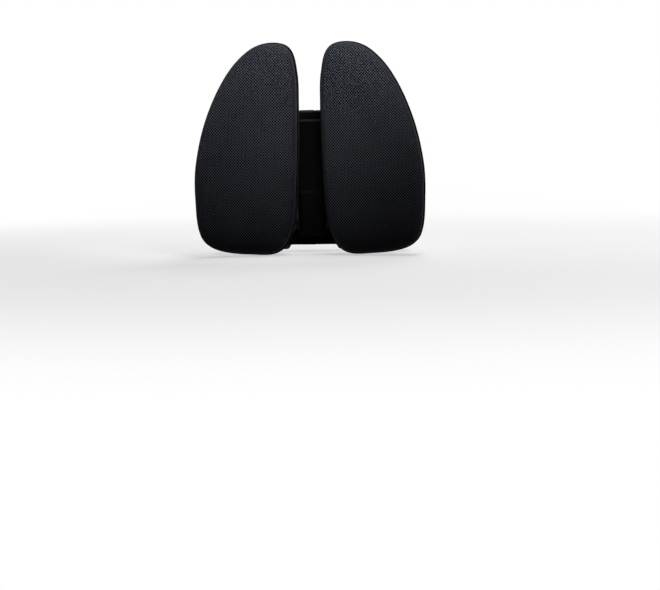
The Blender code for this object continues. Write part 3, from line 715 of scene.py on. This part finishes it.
# The strap's colour is its front run's painted shade; at the rear it is three times lighter
strap_webbing = woven("strap_webbing", (0.0035, 0.0035, 0.004), 1.9, 0.9, painted_shade_ratio=3.0)
elastic_webbing = woven("elastic_webbing", (0.013, 0.013, 0.014), 1.0, 1.4)
thread = knit("sewing_thread", (0.030, 0.030, 0.033))
pin_steel = metal("pin_steel", (0.10, 0.10, 0.11), 0.34)
spring_steel = metal("spring_steel", (0.07, 0.07, 0.075), 0.36)
foam_finish = open_foam()
rubber_finish = grip_rubber()


def curve_span(before, start, end, after, steps):
    """Points of a smooth curve from start until before end, sloped by its neighbours."""
    reach = (end - start).length / 3
    leave = start + (end - before).normalized() * reach
    arrive = end - (after - start).normalized() * reach
    return interpolate_bezier(start, leave, arrive, end, steps + 1)[:-1]


def smooth_loop(points, count, turn_weight):
    """Places spaced along a closed smooth curve through points, closer together where it turns."""
    total = len(points)
    dense = []
    for index in range(total):
        neighbours = [points[(index + shift) % total] for shift in (-1, 0, 1, 2)]
        dense += curve_span(*neighbours, CURVE_STEPS)
    steps = [dense[(index + 1) % len(dense)] - spot for index, spot in enumerate(dense)]
    shares = [step.length + turn_weight * step.angle(steps[index - 1]) for index, step in enumerate(steps)]
    spacing = sum(shares) / count
    places = []
    walked = 0.0
    for spot, step, share in zip(dense, steps, shares):
        while len(places) < count and len(places) * spacing <= walked + share:
            places.append(spot + step * (len(places) * spacing - walked) / share)
        walked += share
    return places


def eased(points, steps):
    """Smooth open curve through (inset, height) points, in steps between each two."""
    spots = [Vector(point) for point in points]
    path = []
    for index in range(len(spots) - 1):
        before = spots[max(0, index - 1)]
        after = spots[min(index + 2, len(spots) - 1)]
        path += curve_span(before, spots[index], spots[index + 1], after, steps)
    return [tuple(spot) for spot in path + [spots[-1]]]


def rear_y(x, z):
    """Depth of the right wing's rear face."""
    reach = max(0.0, x - HINGE_X) / (PAD_OUTER_X - HINGE_X)
    return SHELL_REAR_Y - CUP_DEPTH * reach ** 2 + LEAN_PER_METRE * z ** 2 * MM


def on_wing(x, z, height):
    """Place, in metres, at a height off the right wing's rear face."""
    return Vector((x * MM, (rear_y(x, z) - height) * MM, z * MM))


corner_places = [Vector(point) * MM for point in PAD_OUTLINE]
outline = smooth_loop(corner_places, PAD_POINTS, TURN_WEIGHT * MM)
inward = []
for index in range(PAD_POINTS):
    along = (outline[(index + 1) % PAD_POINTS] - outline[index - 1]).normalized()
    normal = Vector((-along.y, along.x))
    inward.append(normal if normal.dot(PAD_MIDDLE * MM - outline[index]) > 0 else -normal)

edge_curve = smooth_loop(corner_places, EDGE_POINTS, 0.0)
edge_points = np.array([tuple(spot) for spot in edge_curve]) / MM
edge_lengths = np.linalg.norm(np.roll(edge_points, -1, axis=0) - edge_points, axis=1)


def edge_squares(spots, batch=500):
    """Squared distances from points to the outline's points, a batch at a time."""
    for start in range(0, len(spots), batch):
        gaps = spots[start:start + batch, None, :] - edge_points[None, :, :]
        yield (gaps ** 2).sum(axis=2)


def soft_distance(spots, least=1.0):
    """Distance from the outline, smooth across the pad and exact beside a straight edge."""
    pulls = [(edge_lengths / np.maximum(squares, least) ** 2).sum(axis=1) for squares in edge_squares(spots)]
    return (np.concatenate(pulls) * 2 / math.pi) ** (-1 / 3)


def crown(distance):
    """Height of the pad's front over its rear face."""
    share = 1 - np.clip((distance - CROWN_START) / (CROWN_REACH - CROWN_START), 0.0, 1.0)
    return CROWN_EDGE + CROWN_RISE * np.sqrt(1 - share ** 2)


seam_height = float(crown(SEAM_INSET))


def pad_ring(inset, height, follow=0.0):
    """Ring round the right pad; follow is how far it keeps to the crown where the outline turns."""
    if inset >= FULL_INSET:
        return [on_wing(*PAD_MIDDLE, height)]
    inner = max(0.0, inset - EDGE_ZONE) / (FULL_INSET - EDGE_ZONE)
    ring = []
    for edge, normal in zip(outline, inward):
        spot = edge + normal * (min(inset, EDGE_ZONE) * MM)
        ring.append(tuple(spot.lerp(PAD_MIDDLE * MM, inner)))
    flat = np.array(ring) / MM
    heights = np.full(len(flat), float(height))
    if follow:
        heights += follow * (crown(soft_distance(flat)) - crown(inset))
    return [on_wing(x, z, level) for (x, z), level in zip(flat, heights)]


def pad_skin(profile, joined=False):
    """Closed surface round the right pad from (inset, height) pairs."""
    return skin([pad_ring(*point) for point in profile], joined, smooth_angle=60)


def well_inside(spots, margin):
    """Which of the points lie inside the outline by more than a margin."""
    inside = np.zeros(len(spots), bool)
    for first, second in zip(edge_points, np.roll(edge_points, -1, axis=0)):
        if first[1] == second[1]:
            continue
        crosses = (first[1] > spots[:, 1]) != (second[1] > spots[:, 1])
        reach = (second[0] - first[0]) * (spots[:, 1] - first[1]) / (second[1] - first[1]) + first[0]
        inside ^= crosses & (spots[:, 0] < reach)
    nearest = np.concatenate([np.sqrt(squares).min(axis=1) for squares in edge_squares(spots)])
    return inside & (nearest > margin)


def staggered_grid(width, height):
    """Staggered grid of points over the pad, and the places midway along its rows and columns."""
    low = edge_points.min(axis=0)
    high = edge_points.max(axis=0)
    sets = ([], [])
    for row in range(int(2 * (high[1] - low[1]) / height) + 2):
        for column in range(int(2 * (high[0] - low[0]) / width) + 2):
            spot = (low[0] + column * width / 2, low[1] + row * height / 2)
            sets[(row + column) % 2].append(spot)
    return np.array(sets[0]), np.array(sets[1])


def net_points():
    """Places of the net's points and their yarn: one where yarns cross, nought in a hole."""
    holes, crossings = staggered_grid(MESH_WIDTH, MESH_HEIGHT)
    holes = holes[well_inside(holes, SEAM_INSET + HOLE_MARGIN)]
    spots = [crossings, holes]
    yarn = [np.ones(len(crossings)), np.zeros(len(holes))]
    for step in ((1, 0), (0, 1), (-1, 0), (0, -1)):
        spots.append(holes + np.array(step) * (MESH_WIDTH, MESH_HEIGHT) * MESH_HOLE / 2)
        yarn.append(np.full(len(holes), HOLE_CORNER_YARN))
    spots = np.concatenate(spots)
    yarn = np.concatenate(yarn)
    kept = well_inside(spots, SEAM_INSET + YARN_MARGIN) | (yarn == 0.0)
    return spots[kept], yarn[kept]


def add_sheet(build, border, spots, heights):
    """Triangles over a border of vertices and points inside it at heights off the rear face."""
    count = len(border)
    flat = [Vector((corner.co.x / MM, corner.co.z / MM)) for corner in border]
    flat += [Vector(spot) for spot in spots]
    corners = border + [build.verts.new(on_wing(*spot, height)) for spot, height in zip(spots, heights)]
    rim = [(index, (index + 1) % count) for index in range(count)]
    _, _, faces, sources, _, _ = delaunay_2d_cdt(flat, rim, [], INSIDE_ONLY, LEAST_GAP)
    for face in faces:
        build.faces.new([corners[sources[index][0]] for index in face])


def front_panel():
    """Crowned panel of the right pad: a closed sheet whose front is a net of yarn round pits."""
    spots, yarn = net_points()
    distances = soft_distance(spots)
    fade = np.clip((distances - SEAM_INSET) / SEAM_FADE, 0.0, 1.0)
    roll = SEAM_GROOVE * np.exp(-(distances - SEAM_INSET) / SEAM_ROLL)
    heights = crown(distances) - roll - MESH_PIT * (1 - yarn) * fade
    rear_spots, _ = staggered_grid(BACKING_PITCH, BACKING_PITCH)
    rear_spots = rear_spots[well_inside(rear_spots, SEAM_INSET + BACKING_MARGIN)]
    rear_heights = crown(soft_distance(rear_spots)) - MESH_THICKNESS
    groove = seam_height - SEAM_GROOVE
    build = bmesh.new()
    seam = [build.verts.new(spot) for spot in pad_ring(SEAM_INSET, groove, 1.0)]
    add_sheet(build, seam, spots, heights)
    tuck = [build.verts.new(spot) for spot in pad_ring(SEAM_INSET + TUCK_INSET, groove - TUCK_DEPTH, 1.0)]
    for index in range(PAD_POINTS):
        build.faces.new((seam[index - 1], seam[index], tuck[index], tuck[index - 1]))
    add_sheet(build, tuck, rear_spots, rear_heights)
    mesh = finished(build, smooth_angle=70)
    for name, values in (("yarn", yarn), ("openness", fade)):
        shade = np.zeros(len(mesh.vertices), np.float32)
        shade[PAD_POINTS:PAD_POINTS + len(spots)] = values
        mesh.attributes.new(name, "FLOAT", "POINT").data.foreach_set("value", shade)
    return mesh


def side_band():
    """Band round the pad's side, up to a lip sewn under the front panel."""
    rise = eased(BAND_RISE + [(BAND_TOP[0], seam_height - BAND_TOP[1])], BAND_STEPS)
    span = seam_height - BAND_FOLLOWS_FROM
    profile = [(inset, height, max(0.0, (height - BAND_FOLLOWS_FROM) / span)) for inset, height in rise]
    profile += [(inset, seam_height - depth, 1.0) for inset, depth in BAND_LIP]
    return pad_skin(profile + BAND_INNER, joined=True)


def screw_holes():
    """Cutters for the screw holes through the shell and the board."""
    return [rod(x, z, SCREW_HOLE_RADIUS, *WALL_CUT, sides=24) for x, z in WING_SCREWS]


def wing_shell():
    """Moulded shell with hinge arms, screw bosses and vents."""
    additions = []
    for low, high in both_ends(KNUCKLE_SPAN):
        level = (low + high) / 2
        tip = ARM_SEATS[0]
        arm = KNUCKLE_NOSE + [(tip, rear_y(tip, level) + ARM_PROUD, 0)]
        arm += [(reach, rear_y(reach, level) - ARM_ROOT, 0) for reach in ARM_SEATS]
        knuckle = prism([rounded_path(arm), circle(HINGE_X, HINGE_Y, BUSH_HOLE_RADIUS)], low, high)
        additions.append(softened(knuckle, width=1.0))
    for x, z in WING_SCREWS:
        seat = rear_y(x, z)
        boss = rod(x, z, SCREW_BOSS_RADIUS, seat - SCREW_BOSS_ROOT, seat + SCREW_BOSS_HEIGHT)
        additions.append(softened(boss, width=0.7))
    vents = []
    for step in range(VENT_COUNT):
        level = VENT_LOWEST_Z + VENT_SPACING * step
        half = VENT_HALF_LENGTH - VENT_TAPER * step
        vent = rectangle(*around(VENT_X, half), *around(level, VENT_HALF_HEIGHT), VENT_CORNER)
        vents.append(prism([vent], *WALL_CUT, "XZ"))
    shell = combined(pad_skin(SHELL_SECTION), additions, "UNION")
    return shaded(combined(shell, screw_holes() + vents, "DIFFERENCE"))


def round_head_screw():
    """Screw along Y with a hexagonal recess, whose seat is at the origin."""
    recess = prism([circle(0, 0, RECESS_RADIUS, sides=6)], *RECESS_SPAN)
    mesh = cleaned(combined(turned(SCREW_PROFILE, sides=32), [recess], "DIFFERENCE"))
    mesh.transform(Matrix.Rotation(-math.pi / 2, 4, "X"))
    return shaded(mesh)


def retaining_clip():
    """Open ring in the pin's groove."""
    turns = [math.radians(angle) for angle in CLIP_ANGLES]
    rim = []
    for radius, way in ((CLIP_OUTER_RADIUS, turns), (CLIP_INNER_RADIUS, turns[::-1])):
        rim += [polar(radius, turn) for turn in way]
    return softened(prism([rim], *CLIP_SPAN), width=0.15)


def torsion_spring():
    """Coil round the pin, with a leg towards the plate and one towards the shell."""
    coil = []
    steps = round(SPRING_TURNS * SPRING_POINTS_A_TURN)
    for step in range(steps + 1):
        turn = math.pi / 2 + 2 * math.pi * SPRING_TURNS * step / steps
        level = SPRING_PITCH * SPRING_TURNS * (step / steps - 0.5)
        coil.append(polar(SPRING_RADIUS, turn, level))
    plate_leg = [coil[0] + Vector(leg) * MM for leg in PLATE_LEG]
    shell_leg = [coil[-1] + Vector(leg) * MM for leg in SHELL_LEG]
    return tube(plate_leg + coil + shell_leg, SPRING_WIRE, Vector((0, 0, 1)))


# Layers of a wing: name, mesh on the right, finish, slot, node and fill of a padded one. Pieces of its hinge:
# name, mesh about the pin's middle, finish, slot and body, which a piece left in place on no body lacks
piping_mesh = tube(pad_ring(*PIPING_SEAT), PIPING_RADIUS, Vector((0, 1, 0)), joined=True)
board_mesh = shaded(combined(pad_skin(BOARD_SECTION), screw_holes(), "DIFFERENCE"))
wing_layers = [
    ("pad_front", front_panel(), mesh_fabric, "mesh_fabric", "front_cover", 0.9),
    ("pad_core", pad_skin(CORE_SECTION), foam_finish, "foam", "foam_pad", 1.0),
    ("pad_side", side_band(), side_fabric, "side_fabric", "side_band", None),
    ("piping", piping_mesh, piping_fabric, "side_fabric", "edge_piping", None),
    ("shell", wing_shell(), shell_plastic, "shell_plastic", "wing_shell", None),
    ("board", board_mesh, board_plastic, "board_plastic", "pad_board", None),
]
hinge_pieces = [
    ("pin", turned(PIN_PROFILE, sides=32), pin_steel, "steel", "spine"),
    ("clip", retaining_clip(), spring_steel, "spring_steel", "spine"),
    ("spring", torsion_spring(), spring_steel, "spring_steel", None),
]
screw_mesh = round_head_screw()
bush_mesh = turned(BUSH_PROFILE, sides=40, hollow=True)


def wing_mesh(mesh, sign, place=(0, 0, 0), turned_over=False):
    """Copy of the right wing's mesh, set in place and mirrored for the left wing."""
    copy = mesh.copy()
    if turned_over:
        copy.transform(Matrix.Rotation(math.pi, 4, "X"))
    moved(copy, place)
    return copy if sign > 0 else mirrored(copy)


for label, sign in (("right", 1), ("left", -1)):
    wing = label + "_wing"
    for name, mesh, finish, slot, node, fill in wing_layers:
        layer = add_piece(f"{label}_{name}", wing_mesh(mesh, sign), finish, wing, slot, f"{label}_{node}")
    for number, (x, z) in enumerate(WING_SCREWS, 1):
        screw = wing_mesh(screw_mesh, sign, (x, rear_y(x, z) + SCREW_BOSS_HEIGHT, z))
        add_piece(f"{label}_screw_{number}", screw, pin_steel, wing, "steel", f"{label}_wing_screw_{number}")
    for end, height in (("upper", KNUCKLE_SPAN[1]), ("lower", -KNUCKLE_SPAN[1])):
        bush = wing_mesh(bush_mesh, sign, (HINGE_X, HINGE_Y, height), turned_over=height < 0)
        add_piece(f"{label}_{end}_bush", bush, bush_plastic, wing, "bush_plastic", f"{label}_bush_{end}")
    for name, mesh, finish, slot, body in hinge_pieces:
        placed = wing_mesh(mesh, sign, (HINGE_X, HINGE_Y, 0))
        made = add_piece(f"{label}_{name}", placed, finish, body, slot, f"{label}_hinge_{name}")
        if body is None:
            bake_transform(made)


def spine_plate():
    """Plate in an I shape with strap slots, hinge lugs in front and ribs behind."""
    outlines = [rounded_path(PLATE_HALF + [(-x, -z, radius) for x, z, radius in PLATE_HALF])]
    additions = []
    root = PLATE_FRONT_Y + PLATE_OVERLAP
    nose = HINGE_Y - LUG_HALF_WIDTH
    rib_depth = (PLATE_REAR_Y - PLATE_OVERLAP, RIB_REAR_Y)
    for side in (-1, 1):
        slot = around(side * SLOT_X, SLOT_HALF_WIDTH)
        outlines += [rectangle(*slot, *span, SLOT_CORNER) for span in both_ends(SLOT_SPAN)]
        left, right = around(side * HINGE_X, LUG_HALF_WIDTH)
        lug = rounded_path([
            (left, root, 0), (right, root, 0), (right, nose, LUG_HALF_WIDTH), (left, nose, LUG_HALF_WIDTH),
        ])
        bore = circle(side * HINGE_X, HINGE_Y, PIN_HOLE_RADIUS)
        additions += [prism([lug, bore], *span) for span in both_ends(LUG_SPAN)]
        rib = around(side * RIB_X, RIB_HALF_WIDTH)
        additions.append(block(*rib, *rib_depth, *around(0, RIB_Z - RIB_HALF_WIDTH)))
    for end in (-1, 1):
        rib = around(end * RIB_Z, RIB_HALF_WIDTH)
        additions.append(block(*around(0, RIB_X + RIB_HALF_WIDTH), *rib_depth, *rib))
    plate = combined(prism(outlines, PLATE_FRONT_Y, PLATE_REAR_Y, "XZ"), additions, "UNION")
    holes = [rod(0, z, SCREW_HOLE_RADIUS, *PLATE_CUT, sides=24) for z in around(0, COVER_SCREW_Z)]
    return softened(combined(plate, holes, "DIFFERENCE"), width=0.6)


def spine_cover():
    """Hollow shroud, chamfered above and stepped in front, with screw posts and strap notches."""
    cover = prism([rounded_path(COVER_SIDE)], *around(0, COVER_HALF_WIDTH + COVER_WALL), "YZ")
    left, right = around(0, COVER_HALF_WIDTH)
    plan = rounded_path([
        (left, COVER_CLEAR_Y, 0), (left, COVER_STEP_Y, COVER_CORNER),
        (right, COVER_STEP_Y, COVER_CORNER), (right, COVER_CLEAR_Y, 0),
    ])
    cover = combined(cover, [prism([plan], *around(0, COVER_TOP_Z + COVER_WALL))], "INTERSECT")
    inner = around(0, COVER_HALF_WIDTH - COVER_WALL)
    inner_span = (COVER_BOTTOM_Z + COVER_WALL, COVER_TOP_Z - COVER_WALL)
    cuts = [block(*inner, COVER_FACE_Y + COVER_WALL, COVER_CLEAR_Y, *inner_span)]
    notch = (*around(0, STRAP_NOTCH_HALF_WIDTH), STRAP_NOTCH_FRONT_Y, COVER_CLEAR_Y)
    cuts += [block(*notch, *span) for span in both_ends(STRAP_NOTCH_SPAN)]
    cover = combined(cover, cuts, "DIFFERENCE")
    levels = around(0, COVER_SCREW_Z)
    posts = [rod(0, z, COVER_POST_RADIUS, COVER_POST_FRONT_Y, COVER_REAR_Y) for z in levels]
    holes = [rod(0, z, COVER_POST_HOLE, PLATE_CUT[0], COVER_CLEAR_Y, sides=24) for z in levels]
    cover = softened(combined(combined(cover, posts, "UNION"), holes, "DIFFERENCE"), width=0.6)
    # Painted highlight on faces that look up and forward: full on the chamfer above the middle, a share of it
    # on the lower step
    highlighted_faces = cover.attributes.new("painted_highlight", "FLOAT", "FACE")
    for face in cover.polygons:
        if face.normal.y < -HIGHLIGHT_SLOPE and face.normal.z > HIGHLIGHT_SLOPE:
            highlighted_faces.data[face.index].value = 1.0 if face.center.z > 0 else STEP_HIGHLIGHT_SHARE
    return cover


add_piece("spine_plate", spine_plate(), frame_plastic, "spine", "frame_plastic", "spine_frame")
add_piece("spine_shroud", spine_cover(), cover_plastic, "spine", "frame_plastic", "spine_cover")
for label, end in (("upper", 1), ("lower", -1)):
    screw = moved(screw_mesh.copy(), (0, PLATE_REAR_Y, end * COVER_SCREW_Z))
    add_piece("cover_screw_" + label, screw, pin_steel, "spine", "steel", "spine_screw_" + label)
grip_outline = rectangle(*around(0, GRIP_HALF_WIDTH), *around(0, GRIP_HALF_HEIGHT), GRIP_CORNER)
grip = softened(prism([grip_outline], GRIP_FRONT_Y, 0, "XZ"), width=0.8, segments=3)
add_piece("grip_pad", grip, rubber_finish, "spine", "rubber", "rear_grip_pad")


def webbing_ribbon(path):
    """Webbing on edge along a path, with weave coordinates in metres on all but its cut ends."""
    half = STRAP_THICKNESS / 2 * MM
    thin = half * SELVEDGE_SHARE
    top = STRAP_HALF_WIDTH * MM
    shoulder = top - SELVEDGE * MM
    section = [
        (half, -shoulder), (thin, -top), (-thin, -top), (-half, -shoulder),
        (-half, shoulder), (-thin, top), (thin, top), (half, shoulder),
    ]
    steps = [end - start for start, end in zip(path, path[1:])]
    rings = []
    lengths = [0.0]
    for index, spot in enumerate(path):
        arrive = steps[max(0, index - 1)].normalized()
        step = steps[min(index, len(steps) - 1)]
        leave = step.normalized()
        along = (arrive + leave).normalized()
        out = Vector((-along.y, along.x)) / along.dot(leave)
        rings.append([(spot.x + out.x * off, spot.y + out.y * off, z) for off, z in section])
        lengths.append(lengths[-1] + step.length)
    mesh = skin(rings, smooth_angle=50)
    weave = mesh.uv_layers.new(name="weave", do_init=False)
    sides = [face for face in mesh.polygons if len(face.vertices) < len(section)]
    for face in sides:
        for corner in face.loop_indices:
            row, place = divmod(mesh.loops[corner].vertex_index, len(section))
            weave.data[corner].uv = (lengths[row], section[place][1])
    return mesh


def box_stitch(left, right, half_height, front):
    """Sewn box with a cross in it, of stitches that are small rounded bars."""
    low, high = around(0, half_height)
    corners = [Vector(corner) for corner in ((left, low), (right, low), (right, high), (left, high))]
    build = bmesh.new()
    for first, last in ((0, 1), (1, 2), (2, 3), (3, 0), (0, 2), (1, 3)):
        row = corners[last] - corners[first]
        along = row.normalized()
        across = Vector((-along.y, along.x))
        count = round(row.length / STITCH_PITCH)
        for index in range(count):
            middle = corners[first] + row * (index + 0.5) / count
            rings = []
            for share, size in STITCH_SHAPE:
                ring = []
                for turn in full_turn(STITCH_SIDES):
                    spot = middle + along * share * STITCH_PITCH + across * math.cos(turn) * size
                    depth = front + math.sin(turn) * size * STITCH_FLATNESS
                    ring.append(Vector((spot.x, depth, spot.y)) * MM)
                rings.append(ring)
            build.from_mesh(skin(rings))
    return finished(build, SMOOTH_ANGLE)


def bar_loop(side):
    """Corners of webbing that turns round a buckle's bar from behind it to before it."""
    inner, outer = around(STRAP_REAR_Y, BAR_LOOP)
    bend = (side * LOOP_BEND_X, SLACK_RADIUS)
    turn = (side * (BAR_X - BAR_LOOP), BAR_LOOP)
    return [(x, y, radius) for (x, radius), y in ((bend, outer), (turn, outer), (turn, inner), (bend, inner))]


def strap():
    """Strap from its tail round the socket's bar, through the plate's slots and back to its lap."""
    tail = STRAP_REAR_Y + TAIL_GAP
    half_loop = [
        (STRAP_SIDE_X, STRAP_REAR_Y, SIDE_RADIUS), (STRAP_SIDE_X, STRAP_NEAR_Y, NEAR_RADIUS),
        (SLOT_X, STRAP_NEAR_Y, SLOT_TURN[0]), (SLOT_X, STRAP_FRONT_Y, SLOT_TURN[1]),
    ]
    return webbing_ribbon(rounded_path([
        (-STRAP_END_X, tail, 0), (-LOOP_START_X, tail, SLACK_RADIUS), *bar_loop(-1),
        (-LOOP_START_X, STRAP_REAR_Y, SLACK_RADIUS), *[(-x, y, radius) for x, y, radius in half_loop],
        *reversed(half_loop), (STRAP_END_X, STRAP_REAR_Y, 0),
    ], closed=False))


def elastic_end():
    """Elastic end from its lap round the plug's bar, with points no more than 4 mm apart."""
    lap = STRAP_REAR_Y + LAP_GAP
    inner, outer = around(STRAP_REAR_Y, ELASTIC_GAP)
    path = rounded_path([
        (LAP_X[0], lap, 0), (LAP_X[1], lap, SLACK_RADIUS), (LAP_X[2], outer, SLACK_RADIUS),
        (LOOP_START_X, outer, SLACK_RADIUS), *bar_loop(1), (ELASTIC_TAIL_X[0], inner, SLACK_RADIUS),
        (ELASTIC_TAIL_X[1], inner, 0),
    ], closed=False)
    dense = []
    for first, second in zip(path, path[1:]):
        parts = max(1, math.ceil((second - first).length / (ELASTIC_STEP * MM)))
        dense += [first.lerp(second, part / parts) for part in range(parts)]
    return webbing_ribbon(dense + [path[-1]])


def across_strap(outlines, half_depth):
    """Solid with an outline in X and Z, to equal depths about the strap's rear run."""
    return prism(outlines, *around(STRAP_REAR_Y, half_depth), "XZ")


def webbing_gap(side):
    """Cutter for the gap that webbing passes through at a buckle's end."""
    near, far, half = WEBBING_GAP
    left, right = sorted((side * near, side * far))
    return across_strap([rectangle(left, right, *around(0, half), GAP_CORNER)], GAP_HALF_DEPTH)


def bar(side):
    """Round bar across a buckle's end."""
    return prism([circle(side * BAR_X, STRAP_REAR_Y, BAR_RADIUS)], *around(0, BAR_HALF_LENGTH))


def buckle_socket():
    """Socket with a cavity for the prongs, a window at each side and a bar."""
    cuts = []
    for left, right, half in (SOCKET_CAVITY, SOCKET_WINDOW):
        cuts.append(across_strap([rectangle(left, right, *around(0, half))], CAVITY_HALF_DEPTH))
    socket = across_strap([both_sides(SOCKET_HALF)], SOCKET_HALF_DEPTH)
    socket = combined(socket, cuts + [webbing_gap(-1)], "DIFFERENCE")
    return softened(combined(socket, [bar(-1)], "UNION"), width=0.5)


def buckle_plug():
    """Plug with two barbed prongs and a guide between them, and a bar."""
    prongs = across_strap([both_sides(PRONG_HALF)], PRONG_HALF_DEPTH)
    plug = combined(across_strap([both_sides(PLUG_HALF)], PLUG_HALF_DEPTH), [webbing_gap(1)], "DIFFERENCE")
    return softened(combined(prongs, [plug, bar(1)], "UNION"), width=0.4)


def strap_keeper():
    """Loop that holds the strap's tail."""
    loops = []
    for near, far, half, radius in (KEEPER_OUTER, KEEPER_INNER):
        loops.append(rectangle(STRAP_REAR_Y + near, STRAP_REAR_Y + far, *around(0, half), radius))
    return softened(prism(loops, *around(KEEPER_X, KEEPER_HALF_LENGTH), "YZ"), width=0.5)


# Strap pieces: name, mesh about the strap's own middle height, finish, slot, body and node that it stands for
overlap_stitch = box_stitch(*STITCH_BOX, STRAP_REAR_Y + LAP_GAP + STRAP_THICKNESS / 2)
strap_pieces = [
    ("webbing", strap(), strap_webbing, "webbing", "spine", "strap"),
    ("elastic", elastic_end(), elastic_webbing, "webbing", None, "strap_end"),
    ("strap_stitch", overlap_stitch, thread, "webbing", "spine", None),
    ("socket", buckle_socket(), buckle_plastic, "buckle_plastic", "spine", "buckle_socket"),
    ("plug_piece", buckle_plug(), buckle_plastic, "buckle_plastic", "plug", "buckle_plug"),
    ("keeper_loop", strap_keeper(), buckle_plastic, "buckle_plastic", "keeper", "strap_keeper"),
]
for label, end in (("upper", 1), ("lower", -1)):
    height = end * STRAP_Z
    for name, mesh, finish, slot, body, node in strap_pieces:
        carrier = f"{label}_{body}" if body in ("plug", "keeper") else body
        nodes = [f"{label}_{node}"] if node else []
        made = add_piece(f"{label}_{name}", moved(mesh.copy(), (0, 0, height)), finish, carrier, slot, *nodes)
        if body is None:
            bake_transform(made)

# Stage, in metres apart from the paper's path, whose corners are Y, height over the floor and a radius
PAPER_PATH = [(-6000, 0, 0), (2000, 0, 800), (2000, 5000, 0)]
PAPER_STEP = 7.5
PAPER_HALF_WIDTH = 6.0
FLOOR_GAP = 0.001
FLOOR_Z = cad_low.z - FLOOR_GAP
SHADOW_REACH = (0.4, 1.6)
SHADOW_SHARE = 0.5
SCATTERED_PAPER = (0.04, 0.04, 0.04)
SCATTERED_SKY = 0.03

build = bmesh.new()
sweep = rounded_path(PAPER_PATH, closed=False, step=PAPER_STEP)
edges = []
for x in around(0, PAPER_HALF_WIDTH):
    edges.append([build.verts.new((x, spot.x, FLOOR_Z + spot.y)) for spot in sweep])
for left, next_left, right, next_right in zip(edges[0], edges[0][1:], edges[1], edges[1][1:]):
    build.faces.new((left, next_left, next_right, right))
backdrop = linked("backdrop", finished(build, smooth_angle=60))


def paper_white():
    """Studio paper: white to the eye, with the object's shadow, and dark for scattered light."""
    made = bpy.data.materials.new("studio_paper")
    made.use_nodes = True
    paper = Nodes(made.node_tree)
    paper.tree.nodes.remove(paper.tree.nodes["Principled BSDF"])
    distance = paper.add("VectorMath", paper.place(), settings={"operation": "LENGTH"}).outputs["Value"]
    near = paper.ranged(distance, SHADOW_SHARE, 0.0, *SHADOW_REACH, smooth=True)
    lit = paper.add("BsdfDiffuse", near).outputs[0]
    glow = paper.add("Emission", Strength=paper.maths(1.0, near, "SUBTRACT")).outputs[0]
    seen = paper.add("AddShader", lit, glow).outputs[0]
    scattered = paper.add("BsdfDiffuse", SCATTERED_PAPER).outputs[0]
    choice = paper.add("MixShader", paper.seen_directly(), scattered, seen).outputs[0]
    paper.feed(paper.tree.nodes["Material Output"], choice)
    return made


backdrop.data.materials.append(paper_white())

world = bpy.data.worlds.new("studio")
bpy.context.scene.world = world
world.use_nodes = True
sky = Nodes(world.node_tree)
brightness = sky.ranged(sky.seen_directly(), low=SCATTERED_SKY)
sky.feed(world.node_tree.nodes["Background"], (1.0, 1.0, 1.0), brightness)


def area_light(name, place, target, size, power, spread=180):
    """Soft lamp that faces a point; spread is its beam's angle in degrees."""
    lamp = bpy.data.lights.new(name, "AREA")
    lamp.shape = "RECTANGLE"
    lamp.size, lamp.size_y = size
    lamp.energy = power
    lamp.spread = math.radians(spread)
    made = linked(name, lamp)
    made.location = place
    made.rotation_euler = (Vector(target) - Vector(place)).to_track_quat("-Z", "Y").to_euler()


area_light("key", (0.18, -0.45, 0.5), (0, -0.08, 0.18), size=(0.3, 0.3), power=0.29, spread=45)
area_light("top", (0.3, -0.2, 1.9), (0, -0.08, 0.1), size=(1.2, 0.5), power=16)
area_light("left_front", (-1.2, -0.4, 0.3), (-0.15, -0.08, 0.2), size=(0.35, 0.35), power=0.17, spread=25)
area_light("right_strip", (1.3, -0.1, 0.3), (0.15, -0.08, 0.05), size=(0.3, 0.9), power=2)
area_light("back", (0.4, 1.5, 1.8), (0, 0, 0.1), size=(1.4, 0.8), power=24)

# Camera: the photograph's long lens, with the object high and left of the picture's middle
IMAGE_WIDTH = 660
IMAGE_HEIGHT = 590
FOCAL_PIXELS = 1581
SENSOR_WIDTH = 36
CAMERA_DISTANCE = 2.72
CAMERA_AZIMUTH = math.radians(5)
CAMERA_ELEVATION = math.radians(0.5)
CAMERA_ROLL = math.radians(-1.05)
TARGET = Vector((0, -0.06, 0.0507))
TARGET_PIXEL = (309.7, 149.6)

lens = bpy.data.cameras.new("camera")
lens.sensor_width = SENSOR_WIDTH
lens.lens = SENSOR_WIDTH * FOCAL_PIXELS / IMAGE_WIDTH
camera = linked("camera", lens)
bpy.context.scene.camera = camera
tilt = math.pi / 2 - CAMERA_ELEVATION
facing = Matrix.Rotation(CAMERA_AZIMUTH, 3, "Z") @ Matrix.Rotation(tilt, 3, "X")
right = (TARGET_PIXEL[0] - IMAGE_WIDTH / 2) / FOCAL_PIXELS
up = (IMAGE_HEIGHT / 2 - TARGET_PIXEL[1]) / FOCAL_PIXELS
unrolled = Matrix.Rotation(CAMERA_ROLL, 2) @ Vector((right, up))
yaw = math.atan(unrolled.x)
pitch = -math.atan(unrolled.y * math.cos(yaw))
turn = Matrix.Rotation(yaw, 3, "Y") @ Matrix.Rotation(pitch, 3, "X") @ Matrix.Rotation(CAMERA_ROLL, 3, "Z")
place = TARGET + facing @ Vector((0, 0, CAMERA_DISTANCE))
camera.matrix_world = Matrix.Translation(place) @ (facing @ turn).to_4x4()

bpy.context.scene.view_settings.view_transform = "Standard"
